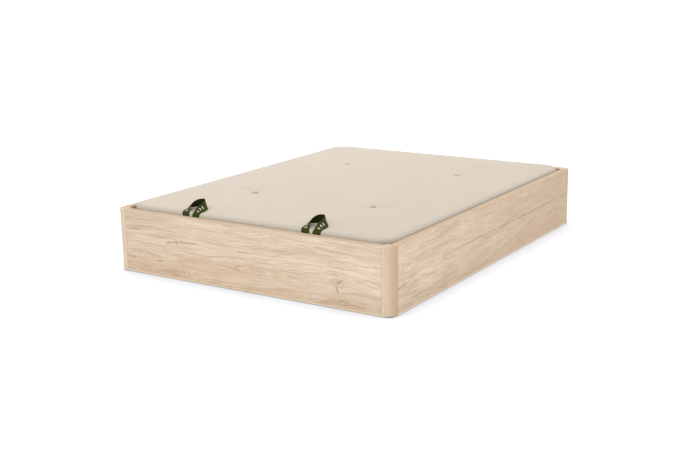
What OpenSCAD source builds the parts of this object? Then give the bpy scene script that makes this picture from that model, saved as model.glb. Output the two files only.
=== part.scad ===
// Storage bed base with a lift-up upholstered lid.
// The origin is on the floor under the middle of the box. X is the width, +Y points to the head end,
// -Y to the foot end with the two pull straps, and Z is up.

/* [Overall size] */
// Outside width of the box
box_w = 1500; // [1300:50:1800]
// Outside length of the box, foot to head
box_l = 1900; // [1800:50:2100]
// Height of the rim above the floor
rim_h = 300; // [290:5:340]

/* [Box] */
// Thickness of the four panels
panel_t = 35; // [28:1:40]
// Side of the square corner posts
post_size = 50; // [46:1:60]
// Radius of the outer corner of each post
post_r = 40; // [10:1:44]
// Bevel on the top edges of the panels
panel_bevel = 1.5; // [0.5:0.5:3]
// Height of the glides under the box
glide_h = 5; // [3:1:10]
// Thickness of the boards in the floor of the storage space
floor_t = 8; // [5:1:12]
// Side of the square ledgers that carry the floor boards
ledger_size = 25; // [20:1:30]
// Number of floor boards along the length
floor_count = 3; // [2:1:4]

/* [Lid] */
// Gap between the lid and the inner faces of the panels
lid_gap = 7; // [6:0.5:10]
// Height of the lid's edge above the rim
lid_rise = 18; // [10:1:25]
// Corner radius of the lid, seen from above
lid_corner_r = 90; // [80:5:120]
// Thickness of the foam and cover on top of the board
pad_t = 15; // [12:1:25]
// Thickness of the padded cover on the sides of the lid
skirt_t = 5; // [4:0.5:6]
// How much higher the padding stands in its middle than at its edge
crown = 2; // [0:0.5:6]
// Thickness of the lid's board
board_t = 10; // [8:1:15]
// Side of the lid's square steel tubes
tube_size = 30; // [28:1:35]
// Wall of the lid's tubes
tube_wall = 2; // [1.5:0.5:3]
// Distance of the air vents from the middle, across
vent_x = 337; // [250:1:400]
// Distance of the air vents from the middle, along
vent_y = 415; // [340:5:460]
// Depth of the tuft that each vent pulls into the padding
tuft_depth = 4; // [1:0.5:6]

/* [Pull straps] */
// Distance of each strap from the middle
strap_x = 330; // [250:10:400]
// Thickness of the webbing
strap_t = 1.8; // [1.2:0.2:2.4]

/* [Lift mechanism] */
// Distance of the lid's pivot from the head end of the box
pivot_from_head = 150; // [150:1:150]
// Depth of the pivot below the rim
pivot_drop = 18; // [18:1:18]
// Radius of the pivot pins
pin_r = 6; // [5:0.5:6]
// Thickness of the steel plates of the hinges
plate_t = 4; // [3:0.5:4]
// Height of the gas springs' lower studs above the floor
lower_stud_z = 70; // [70:1:70]
// Distance of the lower studs from the pivot, towards the foot end
lower_stud_back = 20; // [20:1:20]
// Distance of the upper studs from the pivot, towards the foot end
upper_stud_back = 220; // [220:1:220]
// Depth of the upper studs below the pivot
upper_stud_drop = 37; // [37:1:37]
// Radius of the gas springs' cylinders
cylinder_r = 11; // [9:0.5:11]
// Radius of the gas springs' rods
rod_r = 5; // [4:0.5:5]

/* [Hidden] */
oak = [0.87, 0.79, 0.70];
beech = [0.86, 0.74, 0.57];
board_brown = [0.62, 0.50, 0.37];
cream = [0.88, 0.84, 0.78];
green = [0.16, 0.22, 0.09];
grey_steel = [0.55, 0.56, 0.58];
bright_steel = [0.80, 0.80, 0.82];
black = [0.09, 0.09, 0.10];
grey_plastic = [0.68, 0.70, 0.69];

// Levels
half_w = box_w / 2;
half_l = box_l / 2;
in_x = half_w - panel_t;
in_y = half_l - panel_t;
panel_h = rim_h - glide_h;
ledger_z = 15;
floor_z = ledger_z + ledger_size;
lid_top = rim_h + lid_rise;
board_z = lid_top - pad_t - board_t;
tube_z = board_z - tube_size;
skirt_z = tube_z - 1;

// Lid plan
lid_x = in_x - lid_gap;
lid_y = in_y - lid_gap;
frame_x = lid_x - skirt_t;
frame_y = lid_y - skirt_t;
frame_r = lid_corner_r - skirt_t;
tube_end_x = frame_x - frame_r;
tube_end_y = frame_y - frame_r;
cross_y = [-600, -200, 200, 600];

// Screws and dowels
screw_r = 2.5;
screw_head_r = 5;
screw_head_h = 3;
screw_bite = 20;
dowel_r = 4;
dowel_l = 40;
dowel_z = [90, 220];

// Corner brackets: a folded strip that draws both panels onto the post
bracket_t = 2.5;
bracket_h = 120;
bracket_z = 90;
flange_far = 95;
flange_near = 53;
hanger_r = 4;
hanger_z = bracket_z + bracket_h / 2;

// Rest cleats and bumpers
cleat_t = 30;
cleat_h = 40;
bumper_h = 5;
bumper_r = 9;
cleat_z = tube_z - bumper_h - cleat_h;
side_cleat = [-620, 320];
foot_cleat_half = 420;
side_bumper_y = [-560, -150, 260];
foot_bumper_x = [-380, 0, 380];

// Hinges
pivot_y = half_l - pivot_from_head;
pivot_z = rim_h - pivot_drop;
lug_r = 10;
arm_x = frame_x - tube_size - plate_t;
washer_t = 1;
flange_x = arm_x - washer_t - plate_t;
bush_wall = 2;
pin_play = 0.05;
web_z = 250;
base_y = [pivot_y - 100, pivot_y + 12];
web_y = [pivot_y - 88, pivot_y - 10];
arm_foot_y = pivot_y - 150;
hinge_screw_z = [110, 230];
hinge_screw_y = [pivot_y - 85, pivot_y - 5];
arm_rivet_y = [pivot_y - 138, pivot_y - 100, pivot_y - 62];
rivet_r = 2.5;

// Gas springs, which lie in one plane under each side tube
gas_x = frame_x - 13;
lower_y = pivot_y - lower_stud_back;
upper_y = pivot_y - upper_stud_back;
upper_z = pivot_z - upper_stud_drop;
gas_len = norm([upper_y - lower_y, upper_z - lower_stud_z]);
gas_tilt = atan2(lower_y - upper_y, upper_z - lower_stud_z);
stud_r = 4;
eye_w = 10;
lower_eye_r = 9;
upper_eye_r = 11.2;
upper_hole_r = 8.2;
barrel_from = 20;
barrel_to = 228;
barrel_wall = 2;
gland_l = 15;
piston_l = 12;
rod_from = 32;
rod_to = gas_len - 22;

// Padding: grid lines that follow the four tufts, in one quarter of the lid
grid_x = lid_x - 108;
grid_y = lid_y - 108;
tuft_flat = 18;
tuft_mid = 38;
tuft_edge = 70;
tuft_steps = [-tuft_edge, -tuft_mid, -tuft_flat, tuft_flat, tuft_mid, tuft_edge];
quarter_x = concat([vent_x * 0.4], [for (d = tuft_steps) vent_x + d], [grid_x - 90, grid_x]);
quarter_y = concat([vent_y * 0.35, vent_y * 0.65], [for (d = tuft_steps) vent_y + d], [grid_y - 170, grid_y]);
lines_x = concat([for (i = [len(quarter_x) - 1:-1:0]) -quarter_x[i]], [0], quarter_x);
lines_y = concat([for (i = [len(quarter_y) - 1:-1:0]) -quarter_y[i]], [0], quarter_y);
arc_steps = 12;
vent_r = 16;
barrel_vent_r = 9;
vent_bore_r = 7;
vent_clear = 0.2;
vent_z = lid_top - tuft_depth;

// Pull strap: the two edges of the webbing along the right half of one loop, chosen by eye.
// Each point is [across, back from the lid's foot face, height above the rim].
strap_low_edge = [[48, -1.2, -34], [48, -1.2, -17], [48, -1.2, 0], [51, 3.4, 15.5], [52, 24, 20.5],
    [53, 42, 22], [46, 64, 23], [28, 86, 23.5], [0, 98, 23]];
strap_high_edge = [[8, -1.2, -34], [8, -1.2, -17], [8, -1.2, 0], [11, 3.4, 14.8], [20, 29, 43],
    [25, 46, 50.5], [24, 62, 56.5], [17, 83.5, 62], [0, 98, 63]];
strap_smooth = 4;
clamp_t = 1.5;
clamp_z = 268;
clamp_h = 14;
strap_leg_x = 28;

// ---------------------------------------------------------------- fixings

// Turns +Z to the direction d, which is along X or Y
module aim(d) {
    rotate([-90 * d.y, 90 * d.x, 0]) children();
}

// A screw: point p is on the outer face of the piece it holds, d points into the wood
module screw(p, d, grip) {
    translate(p) aim(d) {
        translate([0, 0, -screw_head_h]) cylinder(h = screw_head_h, r1 = screw_head_r - 1.5, r2 = screw_head_r, $fn = 24);
        cylinder(h = grip + screw_bite, r = screw_r, $fn = 16);
    }
}

// The hole that the same screw needs
module screw_hole(p, d, grip) {
    translate(p) aim(d) translate([0, 0, -1]) cylinder(h = grip + screw_bite + 1, r = screw_r, $fn = 16);
}

// Every screw in the box, as [point, direction, thickness held]
corner_signs = [[-1, -1], [1, -1], [-1, 1], [1, 1]];
corner_bracket_fixings = [for (c = corner_signs, z = [bracket_z + 25, bracket_z + bracket_h - 25]) each [
    [[c.x * (in_x - bracket_t), c.y * (in_y - flange_near - 21), z], [c.x, 0, 0], bracket_t],
    [[c.x * (in_x - flange_near - 21), c.y * (in_y - bracket_t), z], [0, c.y, 0], bracket_t]]];
ledger_side_fixings = [for (s = [-1, 1], y = [-600, 0, 600])
    [[s * (in_x - ledger_size), y, ledger_z + ledger_size / 2], [s, 0, 0], ledger_size]];
ledger_end_fixings = [for (s = [-1, 1], x = [-450, 0, 450])
    [[x + 60, s * (in_y - ledger_size), ledger_z + ledger_size / 2], [0, s, 0], ledger_size]];
cleat_side_fixings = [for (s = [-1, 1], y = [-500, -150, 200])
    [[s * (in_x - cleat_t), y, cleat_z + cleat_h / 2], [s, 0, 0], cleat_t]];
cleat_foot_fixings = [for (x = [-300, 300])
    [[x, -(in_y - cleat_t), cleat_z + cleat_h / 2], [0, -1, 0], cleat_t]];
hinge_fixings = [for (s = [-1, 1], y = hinge_screw_y, z = hinge_screw_z)
    [[s * (in_x - plate_t), y, z], [s, 0, 0], plate_t]];

module screws(list) {
    for (f = list) screw(f[0], f[1], f[2]);
}

module screw_holes(list, d) {
    for (f = list) if (f[1] == d) screw_hole(f[0], f[1], f[2]);
}

// Dowels between each panel end and its post, as [point on the joint, direction into the post]
dowels = [for (c = corner_signs, z = dowel_z) each [
    [[c.x * (half_w - panel_t / 2), c.y * (half_l - post_size), z], [0, c.y, 0]],
    [[c.x * (half_w - post_size), c.y * (half_l - panel_t / 2), z], [c.x, 0, 0]]]];

module dowel_pins(list) {
    for (f = list)
        translate(f[0]) aim(f[1]) translate([0, 0, -dowel_l / 2]) cylinder(h = dowel_l, r = dowel_r, $fn = 24);
}

// ---------------------------------------------------------------- box

// A panel section with small bevels on its top edges, drawn upright and run along X
module panel_bar(length) {
    b = panel_bevel;
    translate([-length / 2, 0, 0]) rotate([90, 0, 90]) linear_extrude(length)
        polygon([[0, glide_h], [panel_t, glide_h], [panel_t, rim_h - b], [panel_t - b, rim_h],
            [b, rim_h], [0, rim_h - b]]);
}

module end_panel(s, fixings) {
    color(oak) difference() {
        translate([0, s > 0 ? in_y : -half_l, 0]) panel_bar(box_w - 2 * post_size);
        screw_holes(fixings, [0, s, 0]);
        dowel_pins([for (f = dowels) if (f[1].y == 0 && sign(f[0].y) == s) f]);
    }
}

module side_panel(s, fixings) {
    color(oak) difference() {
        translate([s > 0 ? half_w : -in_x, 0, 0]) rotate([0, 0, 90]) panel_bar(box_l - 2 * post_size);
        screw_holes(fixings, [s, 0, 0]);
        dowel_pins([for (f = dowels) if (f[1].x == 0 && sign(f[0].x) == s) f]);
    }
}

module foot_panel() {
    end_panel(-1, concat(corner_bracket_fixings, ledger_end_fixings, cleat_foot_fixings));
}

module head_panel() {
    end_panel(1, concat(corner_bracket_fixings, ledger_end_fixings));
}

module left_side_panel() {
    side_panel(-1, concat(corner_bracket_fixings, ledger_side_fixings, cleat_side_fixings, hinge_fixings));
}

module right_side_panel() {
    side_panel(1, concat(corner_bracket_fixings, ledger_side_fixings, cleat_side_fixings, hinge_fixings));
}

// Square post with its outer corner rounded, mirrored to each corner of the box
module corner_post(c) {
    color(oak) difference() {
        mirror([c.x < 0 ? 1 : 0, 0, 0]) mirror([0, c.y < 0 ? 1 : 0, 0])
            translate([half_w - post_size, half_l - post_size, glide_h]) difference() {
                linear_extrude(panel_h) union() {
                    square([post_size - post_r, post_size]);
                    square([post_size, post_size - post_r]);
                    translate([post_size - post_r, post_size - post_r]) intersection() {
                        circle(r = post_r, $fn = 96);
                        square(post_r);
                    }
                }
                translate([0, 0, hanger_z - glide_h]) rotate([0, 90, 45])
                    cylinder(h = 35, r = hanger_r, $fn = 24);
            }
        dowel_pins([for (f = dowels) if (sign(f[0].x) == c.x && sign(f[0].y) == c.y) f]);
    }
}

module corner_post_foot_left() { corner_post([-1, -1]); }
module corner_post_foot_right() { corner_post([1, -1]); }
module corner_post_head_left() { corner_post([-1, 1]); }
module corner_post_head_right() { corner_post([1, 1]); }

module corner_dowels() {
    color(beech) dowel_pins(dowels);
}

// Draws its children in all four corners, from the corner at +X +Y
module at_corners() {
    for (c = corner_signs)
        mirror([c.x < 0 ? 1 : 0, 0, 0]) mirror([0, c.y < 0 ? 1 : 0, 0]) children();
}

module corner_brackets() {
    t = bracket_t;
    color(grey_steel) difference() {
        at_corners() difference() {
            translate([in_x, in_y, bracket_z]) linear_extrude(bracket_h)
                polygon([[0, -flange_far], [0, -flange_near], [-flange_near, 0], [-flange_far, 0],
                    [-flange_far, -t], [-flange_near - 1, -t], [-t, -flange_near - 1], [-t, -flange_far]]);
            hanger_axis() cylinder(h = 80, r = hanger_r, $fn = 24);
        }
        for (f = corner_bracket_fixings) screw_hole(f[0], f[1], f[2]);
    }
}

// The hanger bolt's line, from inside the post out through the bracket
module hanger_axis() {
    translate([half_w - post_size, half_l - post_size, hanger_z]) rotate([0, 90, 225])
        translate([0, 0, -35]) children();
}

module corner_bracket_screws() {
    color(bright_steel) screws(corner_bracket_fixings);
}

module corner_hanger_bolts() {
    post_to_web = (2 * (panel_t - post_size) + flange_near) / sqrt(2);
    nut_from = 35 + post_to_web + bracket_t;
    color(bright_steel) at_corners() hanger_axis() {
        cylinder(h = nut_from + 14, r = hanger_r, $fn = 24);
        translate([0, 0, nut_from]) cylinder(h = 7, r = 8, $fn = 6);
    }
}

module ledger_foot() {
    ledger_end(-1);
}

module ledger_head() {
    ledger_end(1);
}

module ledger_end(s) {
    length = 2 * (half_w - post_size) - 4;
    color(beech) difference() {
        translate([-length / 2, s > 0 ? in_y - ledger_size : -in_y, ledger_z])
            cube([length, ledger_size, ledger_size]);
        screw_holes(ledger_end_fixings, [0, s, 0]);
    }
}

module ledger_side(s) {
    length = 2 * (in_y - ledger_size);
    color(beech) difference() {
        translate([s > 0 ? in_x - ledger_size : -in_x, -length / 2, ledger_z])
            cube([ledger_size, length, ledger_size]);
        screw_holes(ledger_side_fixings, [s, 0, 0]);
    }
}

module ledger_left() { ledger_side(-1); }
module ledger_right() { ledger_side(1); }

module ledger_screws() {
    color(bright_steel) screws(concat(ledger_side_fixings, ledger_end_fixings));
}

module center_rail() {
    color(beech) translate([-30, -(in_y - ledger_size), ledger_z])
        cube([60, 2 * (in_y - ledger_size), ledger_size]);
}

module center_rail_feet() {
    color(beech) for (y = [-600, 0, 600]) translate([-30, y - 30, 0]) cube([60, 60, ledger_z]);
}

module floor_boards() {
    margin = 2;
    pitch = 2 * (in_y - margin) / floor_count;
    notch = post_size - panel_t;
    color(board_brown) difference() {
        for (i = [0:floor_count - 1])
            translate([-(in_x - margin), -(in_y - margin) + i * pitch + 0.5, floor_z])
                cube([2 * (in_x - margin), pitch - 1, floor_t]);
        at_corners() translate([in_x - notch - 1, in_y - notch - 1, floor_z - 1])
            cube([notch + 2, notch + 2, floor_t + 2]);
    }
}

module floor_glides() {
    color(black) {
        at_corners() translate([half_w - 27, half_l - 27, 0]) cylinder(h = glide_h, r1 = 15, r2 = 18, $fn = 32);
        for (s = [-1, 1], y = [-300, 300])
            translate([s * (half_w - panel_t / 2), y, 0]) cylinder(h = glide_h, r1 = 11, r2 = 14, $fn = 32);
        for (s = [-1, 1])
            translate([0, s * (half_l - panel_t / 2), 0]) cylinder(h = glide_h, r1 = 11, r2 = 14, $fn = 32);
    }
}

module rest_cleat_foot() {
    color(beech) difference() {
        translate([-foot_cleat_half, -in_y, cleat_z]) cube([2 * foot_cleat_half, cleat_t, cleat_h]);
        screw_holes(cleat_foot_fixings, [0, -1, 0]);
    }
}

module rest_cleat(s) {
    color(beech) difference() {
        translate([s > 0 ? in_x - cleat_t : -in_x, side_cleat[0], cleat_z])
            cube([cleat_t, side_cleat[1] - side_cleat[0], cleat_h]);
        screw_holes(cleat_side_fixings, [s, 0, 0]);
    }
}

module rest_cleat_left() { rest_cleat(-1); }
module rest_cleat_right() { rest_cleat(1); }

module cleat_screws() {
    color(bright_steel) screws(concat(cleat_side_fixings, cleat_foot_fixings));
}

module lid_bumpers() {
    bumper_x = frame_x - tube_size / 2 + 1;
    color(black) {
        for (s = [-1, 1], y = side_bumper_y) translate([s * bumper_x, y, tube_z - bumper_h]) bumper();
        for (x = foot_bumper_x) translate([x, -(frame_y - tube_size / 2 + 1), tube_z - bumper_h]) bumper();
    }
}

module bumper() {
    cylinder(h = bumper_h, r1 = bumper_r, r2 = bumper_r - 2, $fn = 32);
}

// ---------------------------------------------------------------- hinges

// Draws its children on the right side, or mirrored on the left
module on_side(s) {
    mirror([s < 0 ? 1 : 0, 0, 0]) children();
}

// Extrudes a shape drawn in Y and Z towards +X, from x
module side_plate(x, t) {
    translate([x, 0, 0]) rotate([90, 0, 90]) linear_extrude(t) children();
}

// Pressed bracket: a base on the side panel, a shelf under the lid's tube and a lug beside it
module hinge_bracket(s) {
    color(grey_steel) on_side(s) difference() {
        union() {
            side_plate(in_x - plate_t, plate_t) polygon([[base_y[0], 90], [lower_y - 18, 52], [lower_y + 18, 52],
                [base_y[1], 90], [base_y[1], web_z - 30], [web_y[1], web_z + plate_t],
                [web_y[0], web_z + plate_t], [base_y[0], web_z - 20]]);
            translate([flange_x, web_y[0], web_z]) cube([in_x - flange_x, web_y[1] - web_y[0], plate_t]);
            side_plate(flange_x, plate_t) union() {
                polygon([[web_y[0], web_z], [web_y[1], web_z], [pivot_y + lug_r * 0.7, pivot_z - lug_r * 0.6],
                    [pivot_y, pivot_z + lug_r], [pivot_y - 30, pivot_z + lug_r - 4]]);
                translate([pivot_y, pivot_z]) circle(r = lug_r, $fn = 48);
            }
            // Gusset that stiffens the fold between the base and the shelf
            translate([0, (web_y[0] + web_y[1]) / 2 + 2, 0]) rotate([90, 0, 0]) linear_extrude(plate_t)
                polygon([[in_x - plate_t, web_z], [flange_x + 12, web_z], [in_x - plate_t, web_z - 45]]);
        }
        translate([flange_x - 1, pivot_y, pivot_z]) rotate([0, 90, 0]) cylinder(h = plate_t + 2, r = pin_r, $fn = 48);
        translate([in_x - plate_t - 1, lower_y, lower_stud_z]) rotate([0, 90, 0])
            cylinder(h = plate_t + 2, r = stud_r, $fn = 32);
        for (y = hinge_screw_y, z = hinge_screw_z) screw_hole([in_x - plate_t, y, z], [1, 0, 0], plate_t);
    }
}

module hinge_bracket_left() { hinge_bracket(-1); }
module hinge_bracket_right() { hinge_bracket(1); }

module hinge_bracket_screws() {
    color(bright_steel) screws(hinge_fixings);
}

// Shoulder pins: fixed in the brackets, with a peened end that turns inside the tube's access hole
module hinge_pins() {
    color(bright_steel) for (s = [-1, 1]) on_side(s) translate([0, pivot_y, pivot_z]) rotate([0, 90, 0]) {
        translate([0, 0, flange_x - 6]) cylinder(h = 6, r = pin_r + 3.5, $fn = 48);
        translate([0, 0, flange_x]) cylinder(h = frame_x - tube_size - flange_x + 0.5, r = pin_r, $fn = 48);
        translate([0, 0, frame_x - tube_size + 0.5]) cylinder(h = 4, r1 = pin_r + 2, r2 = pin_r, $fn = 48);
    }
}

module hinge_washers() {
    color(grey_plastic) for (s = [-1, 1]) on_side(s)
        translate([flange_x + plate_t, pivot_y, pivot_z]) rotate([0, 90, 0]) difference() {
            cylinder(h = washer_t - 0.1, r = pin_r + 4, $fn = 48);
            translate([0, 0, -1]) cylinder(h = washer_t + 2, r = pin_r, $fn = 48);
        }
}

// Steel arm riveted to the inner wall of the lid's side tube
module hinge_arm(s) {
    color(grey_steel) on_side(s) difference() {
        side_plate(arm_x, plate_t) polygon(concat([[arm_foot_y, tube_z + 3], [pivot_y - 12, tube_z + 3]],
            [for (a = [-75:15:105]) [pivot_y + lug_r * cos(a), pivot_z + lug_r * sin(a)]],
            [[arm_foot_y + 12, tube_z + tube_size - 2], [arm_foot_y, tube_z + 20]]));
        translate([arm_x - 1, pivot_y, pivot_z]) rotate([0, 90, 0])
            cylinder(h = plate_t + 2, r = pin_r + bush_wall + pin_play, $fn = 48);
        for (y = arm_rivet_y) arm_rivet_hole(y);
    }
}

module hinge_arm_left() { hinge_arm(-1); }
module hinge_arm_right() { hinge_arm(1); }

module hinge_bushes() {
    color(grey_plastic) for (s = [-1, 1]) on_side(s)
        translate([arm_x, pivot_y, pivot_z]) rotate([0, 90, 0]) difference() {
            cylinder(h = plate_t, r = pin_r + bush_wall + pin_play, $fn = 48);
            translate([0, 0, -1]) cylinder(h = plate_t + 2, r = pin_r + pin_play, $fn = 48);
        }
}

module arm_rivet_hole(y) {
    translate([arm_x - 1, y, tube_z + tube_size / 2]) rotate([0, 90, 0])
        cylinder(h = plate_t + tube_wall + 2, r = rivet_r, $fn = 16);
}

module hinge_arm_rivets() {
    color(bright_steel) for (s = [-1, 1], y = arm_rivet_y) on_side(s)
        translate([0, y, tube_z + tube_size / 2]) rotate([0, 90, 0]) {
            translate([0, 0, arm_x - 2]) cylinder(h = 2, r1 = rivet_r + 1, r2 = rivet_r + 2, $fn = 24);
            translate([0, 0, arm_x]) cylinder(h = plate_t + tube_wall, r = rivet_r, $fn = 16);
            translate([0, 0, arm_x + plate_t + tube_wall]) cylinder(h = 3, r = rivet_r + 1, $fn = 24);
        }
}

// ---------------------------------------------------------------- lid

module tube_section() {
    difference() {
        square(tube_size);
        translate([tube_wall, tube_wall]) square(tube_size - 2 * tube_wall);
    }
}

// A tube along X whose lower edge starts at y
module tube_x(length, y) {
    translate([-length / 2, y, tube_z]) rotate([90, 0, 90]) linear_extrude(length) tube_section();
}

// A tube along Y whose left edge starts at x
module tube_y(length, x) {
    translate([x, length / 2, tube_z]) rotate([90, 0, 0]) linear_extrude(length) tube_section();
}

module lid_tube_foot() {
    color(black) difference() {
        tube_x(2 * tube_end_x, -frame_y);
        strap_rivet_holes();
    }
}

module lid_tube_head() {
    color(black) tube_x(2 * tube_end_x, frame_y - tube_size);
}

module lid_tube_side(s) {
    color(black) difference() {
        tube_y(2 * tube_end_y, s > 0 ? frame_x - tube_size : -frame_x);
        on_side(s) for (y = arm_rivet_y) arm_rivet_hole(y);
        on_side(s) translate([arm_x, pivot_y, pivot_z]) rotate([0, 90, 0])
            cylinder(h = plate_t + tube_wall + 1, r = pin_r + 3, $fn = 48);
    }
}

module lid_tube_left() { lid_tube_side(-1); }
module lid_tube_right() { lid_tube_side(1); }

module lid_corner_bends() {
    color(black) at_corners() translate([tube_end_x, tube_end_y, tube_z])
        rotate_extrude(angle = 90, $fn = 96) translate([frame_r - tube_size, 0]) tube_section();
}

module lid_cross_tubes() {
    color(black) for (y = cross_y) tube_x(2 * (frame_x - tube_size), y - tube_size / 2);
}

// A rectangle with round corners
module rounded_plan(x, y, r) {
    union() {
        square([2 * (x - r), 2 * y], center = true);
        square([2 * x, 2 * (y - r)], center = true);
        for (c = corner_signs) translate([c.x * (x - r), c.y * (y - r)]) circle(r = r, $fn = 96);
    }
}

module vent_holes(z, h) {
    for (c = corner_signs) translate([c.x * vent_x, c.y * vent_y, z])
        cylinder(h = h, r = barrel_vent_r + vent_clear, $fn = 32);
}

module lid_board() {
    color(board_brown) difference() {
        translate([0, 0, board_z]) linear_extrude(board_t) rounded_plan(frame_x, frame_y, frame_r);
        vent_holes(board_z - 1, board_t + 2);
    }
}

// Height of the padding: a low crown, drawn down to a flat seat at each vent
function tuft(d) = d <= tuft_flat + 0.01 ? 1 : d >= tuft_edge ? 0 : pow(cos(90 * (d - tuft_flat) / (tuft_edge - tuft_flat)), 2);
function pad_top(x, y) =
    let (dome = lid_top + crown * (1 - pow(x / lid_x, 2)) * (1 - pow(y / lid_y, 2)),
        pull = tuft(max(abs(abs(x) - vent_x), abs(abs(y) - vent_y))))
    dome * (1 - pull) + vent_z * pull;

// One ring round the lid, set in from its outline by d. Straight sides have a point at each grid line.
function arc(cx, cy, r, from) =
    [for (i = [0:arc_steps]) [cx + r * cos(from + 90 * i / arc_steps), cy + r * sin(from + 90 * i / arc_steps)]];
function ring(d, z) =
    let (x = lid_x - d, y = lid_y - d, r = lid_corner_r - d, cx = x - r, cy = y - r,
        nx = len(lines_x) - 1, ny = len(lines_y) - 1)
    [for (p = concat([for (v = lines_x) [v, -y]], arc(cx, -cy, r, 270),
        [for (v = lines_y) [x, v]], arc(cx, cy, r, 0),
        [for (i = [nx:-1:0]) [lines_x[i], y]], arc(-cx, cy, r, 90),
        [for (i = [ny:-1:0]) [-x, lines_y[i]]], arc(-cx, -cy, r, 180))) [p.x, p.y, z]];

// The grid point that each point of a ring joins on the top
function grid_index(i, j) = j * len(lines_x) + i;
function rim_index() =
    let (nx = len(lines_x) - 1, ny = len(lines_y) - 1)
    concat([for (i = [0:nx]) grid_index(i, 0)], [for (i = [0:arc_steps]) grid_index(nx, 0)],
        [for (j = [0:ny]) grid_index(nx, j)], [for (i = [0:arc_steps]) grid_index(nx, ny)],
        [for (i = [nx:-1:0]) grid_index(i, ny)], [for (i = [0:arc_steps]) grid_index(0, ny)],
        [for (j = [ny:-1:0]) grid_index(0, j)], [for (i = [0:arc_steps]) grid_index(0, 0)]);

// Foam and cover: top, rounded edge and the skirt that wraps the sides of the frame
module lid_pad() {
    nx = len(lines_x);
    ny = len(lines_y);
    edge_r = pad_t;
    bend = edge_r * (1 - cos(45));
    inner = skirt_t - 0.3;
    rings = [ring(edge_r, lid_top), ring(bend, lid_top - bend), ring(0, lid_top - edge_r),
        ring(0, skirt_z), ring(inner, skirt_z), ring(inner, board_z + board_t)];
    n = len(rings[0]);
    grid = [for (y = lines_y, x = lines_x) [x, y, pad_top(x, y)]];
    rim = rim_index();
    base = nx * ny;
    top_faces = [for (j = [0:ny - 2], i = [0:nx - 2]) each
        [[grid_index(i, j), grid_index(i + 1, j + 1), grid_index(i + 1, j)],
            [grid_index(i, j), grid_index(i, j + 1), grid_index(i + 1, j + 1)]]];
    rim_faces = [for (i = [0:n - 1]) let (k = (i + 1) % n) each concat(
        [[base + i, rim[i], base + k]],
        rim[i] == rim[k] ? [] : [[rim[i], rim[k], base + k]])];
    side_faces = [for (q = [0:len(rings) - 2], i = [0:n - 1])
        let (k = (i + 1) % n, a = base + q * n, b = a + n) each
        [[a + i, a + k, b + k], [a + i, b + k, b + i]]];
    hub = base + len(rings) * n;
    ceiling = [for (i = [0:n - 1]) [hub, hub - n + (i + 1) % n, hub - n + i]];
    color(cream) difference() {
        polyhedron(points = concat(grid, [for (r = rings) each r], [[0, 0, board_z + board_t]]),
            faces = concat(top_faces, rim_faces, side_faces, ceiling), convexity = 4);
        vent_holes(board_z, pad_t + board_t + 5);
    }
}

// Flanged vent: a lipped flange on the tuft, a tube through the lid and a ring nut below the board
module air_vents() {
    top = vent_z;
    bottom = board_z;
    color(grey_plastic) for (c = corner_signs) translate([c.x * vent_x, c.y * vent_y, 0])
        rotate_extrude($fn = 48) polygon([[vent_bore_r, bottom - 3], [vent_r, bottom - 3], [vent_r, bottom],
            [barrel_vent_r, bottom], [barrel_vent_r, top], [vent_r, top], [vent_r, top + 1],
            [vent_r - 1, top + 2], [vent_bore_r + 1.5, top + 2], [vent_bore_r, top + 0.8]]);
}

// ---------------------------------------------------------------- pull straps

// Smooth curve through a list of points
function spline(p, i, t) =
    let (a = p[max(i - 1, 0)], b = p[i], c = p[i + 1], d = p[min(i + 2, len(p) - 1)])
    0.5 * ((2 * b) + (c - a) * t + (2 * a - 5 * b + 4 * c - d) * t * t + (3 * b - a - 3 * c + d) * t * t * t);
function smooth(p) =
    concat([for (i = [0:len(p) - 2], s = [0:strap_smooth - 1]) spline(p, i, s / strap_smooth)], [p[len(p) - 1]]);
function unit(v) = v / norm(v);
// Both halves of the loop: the right half, then the left half backwards
function loop(p) =
    let (h = smooth(p), n = len(h))
    concat(h, [for (i = [n - 2:-1:0]) [-h[i].x, h[i].y, h[i].z]]);

module pull_strap(s) {
    low = loop(strap_low_edge);
    high = loop(strap_high_edge);
    n = len(low);
    middle = (low + high) / 2;
    along = [for (i = [0:n - 1]) unit(middle[min(i + 1, n - 1)] - middle[max(i - 1, 0)])];
    out = [for (i = [0:n - 1]) unit(cross(high[i] - low[i], along[i])) * strap_t / 2];
    points = [for (i = [0:n - 1]) each [low[i] + out[i], high[i] + out[i], high[i] - out[i], low[i] - out[i]]];
    faces = concat(
        [for (i = [0:n - 2], k = [0:3]) let (a = 4 * i + k, b = 4 * i + (k + 1) % 4) each
            [[a, a + 4, b + 4], [a, b + 4, b]]],
        [[0, 1, 2], [0, 2, 3]],
        [[4 * n - 4, 4 * n - 2, 4 * n - 3], [4 * n - 4, 4 * n - 1, 4 * n - 2]]);
    color(green) translate([s * strap_x, -lid_y, rim_h]) polyhedron(points = points, faces = faces, convexity = 4);
}

module pull_strap_left() { pull_strap(-1); }
module pull_strap_right() { pull_strap(1); }

// Outer face of the webbing against the lid's foot end
strap_face_y = -lid_y - 1.2 - strap_t / 2;

module strap_clamp_plates() {
    color(grey_steel) difference() {
        for (s = [-1, 1], l = [-1, 1])
            translate([s * strap_x + l * strap_leg_x - 20, strap_face_y - clamp_t, clamp_z])
                cube([40, clamp_t, clamp_h]);
        strap_rivet_holes();
    }
}

module at_strap_rivets() {
    for (s = [-1, 1], l = [-1, 1], d = [-11, 11])
        translate([s * strap_x + l * strap_leg_x + d, 0, clamp_z + clamp_h / 2]) rotate([-90, 0, 0]) children();
}

module strap_rivet_holes() {
    at_strap_rivets() translate([0, 0, strap_face_y - clamp_t - 1])
        cylinder(h = 12 + tube_wall, r = rivet_r, $fn = 16);
}

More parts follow.
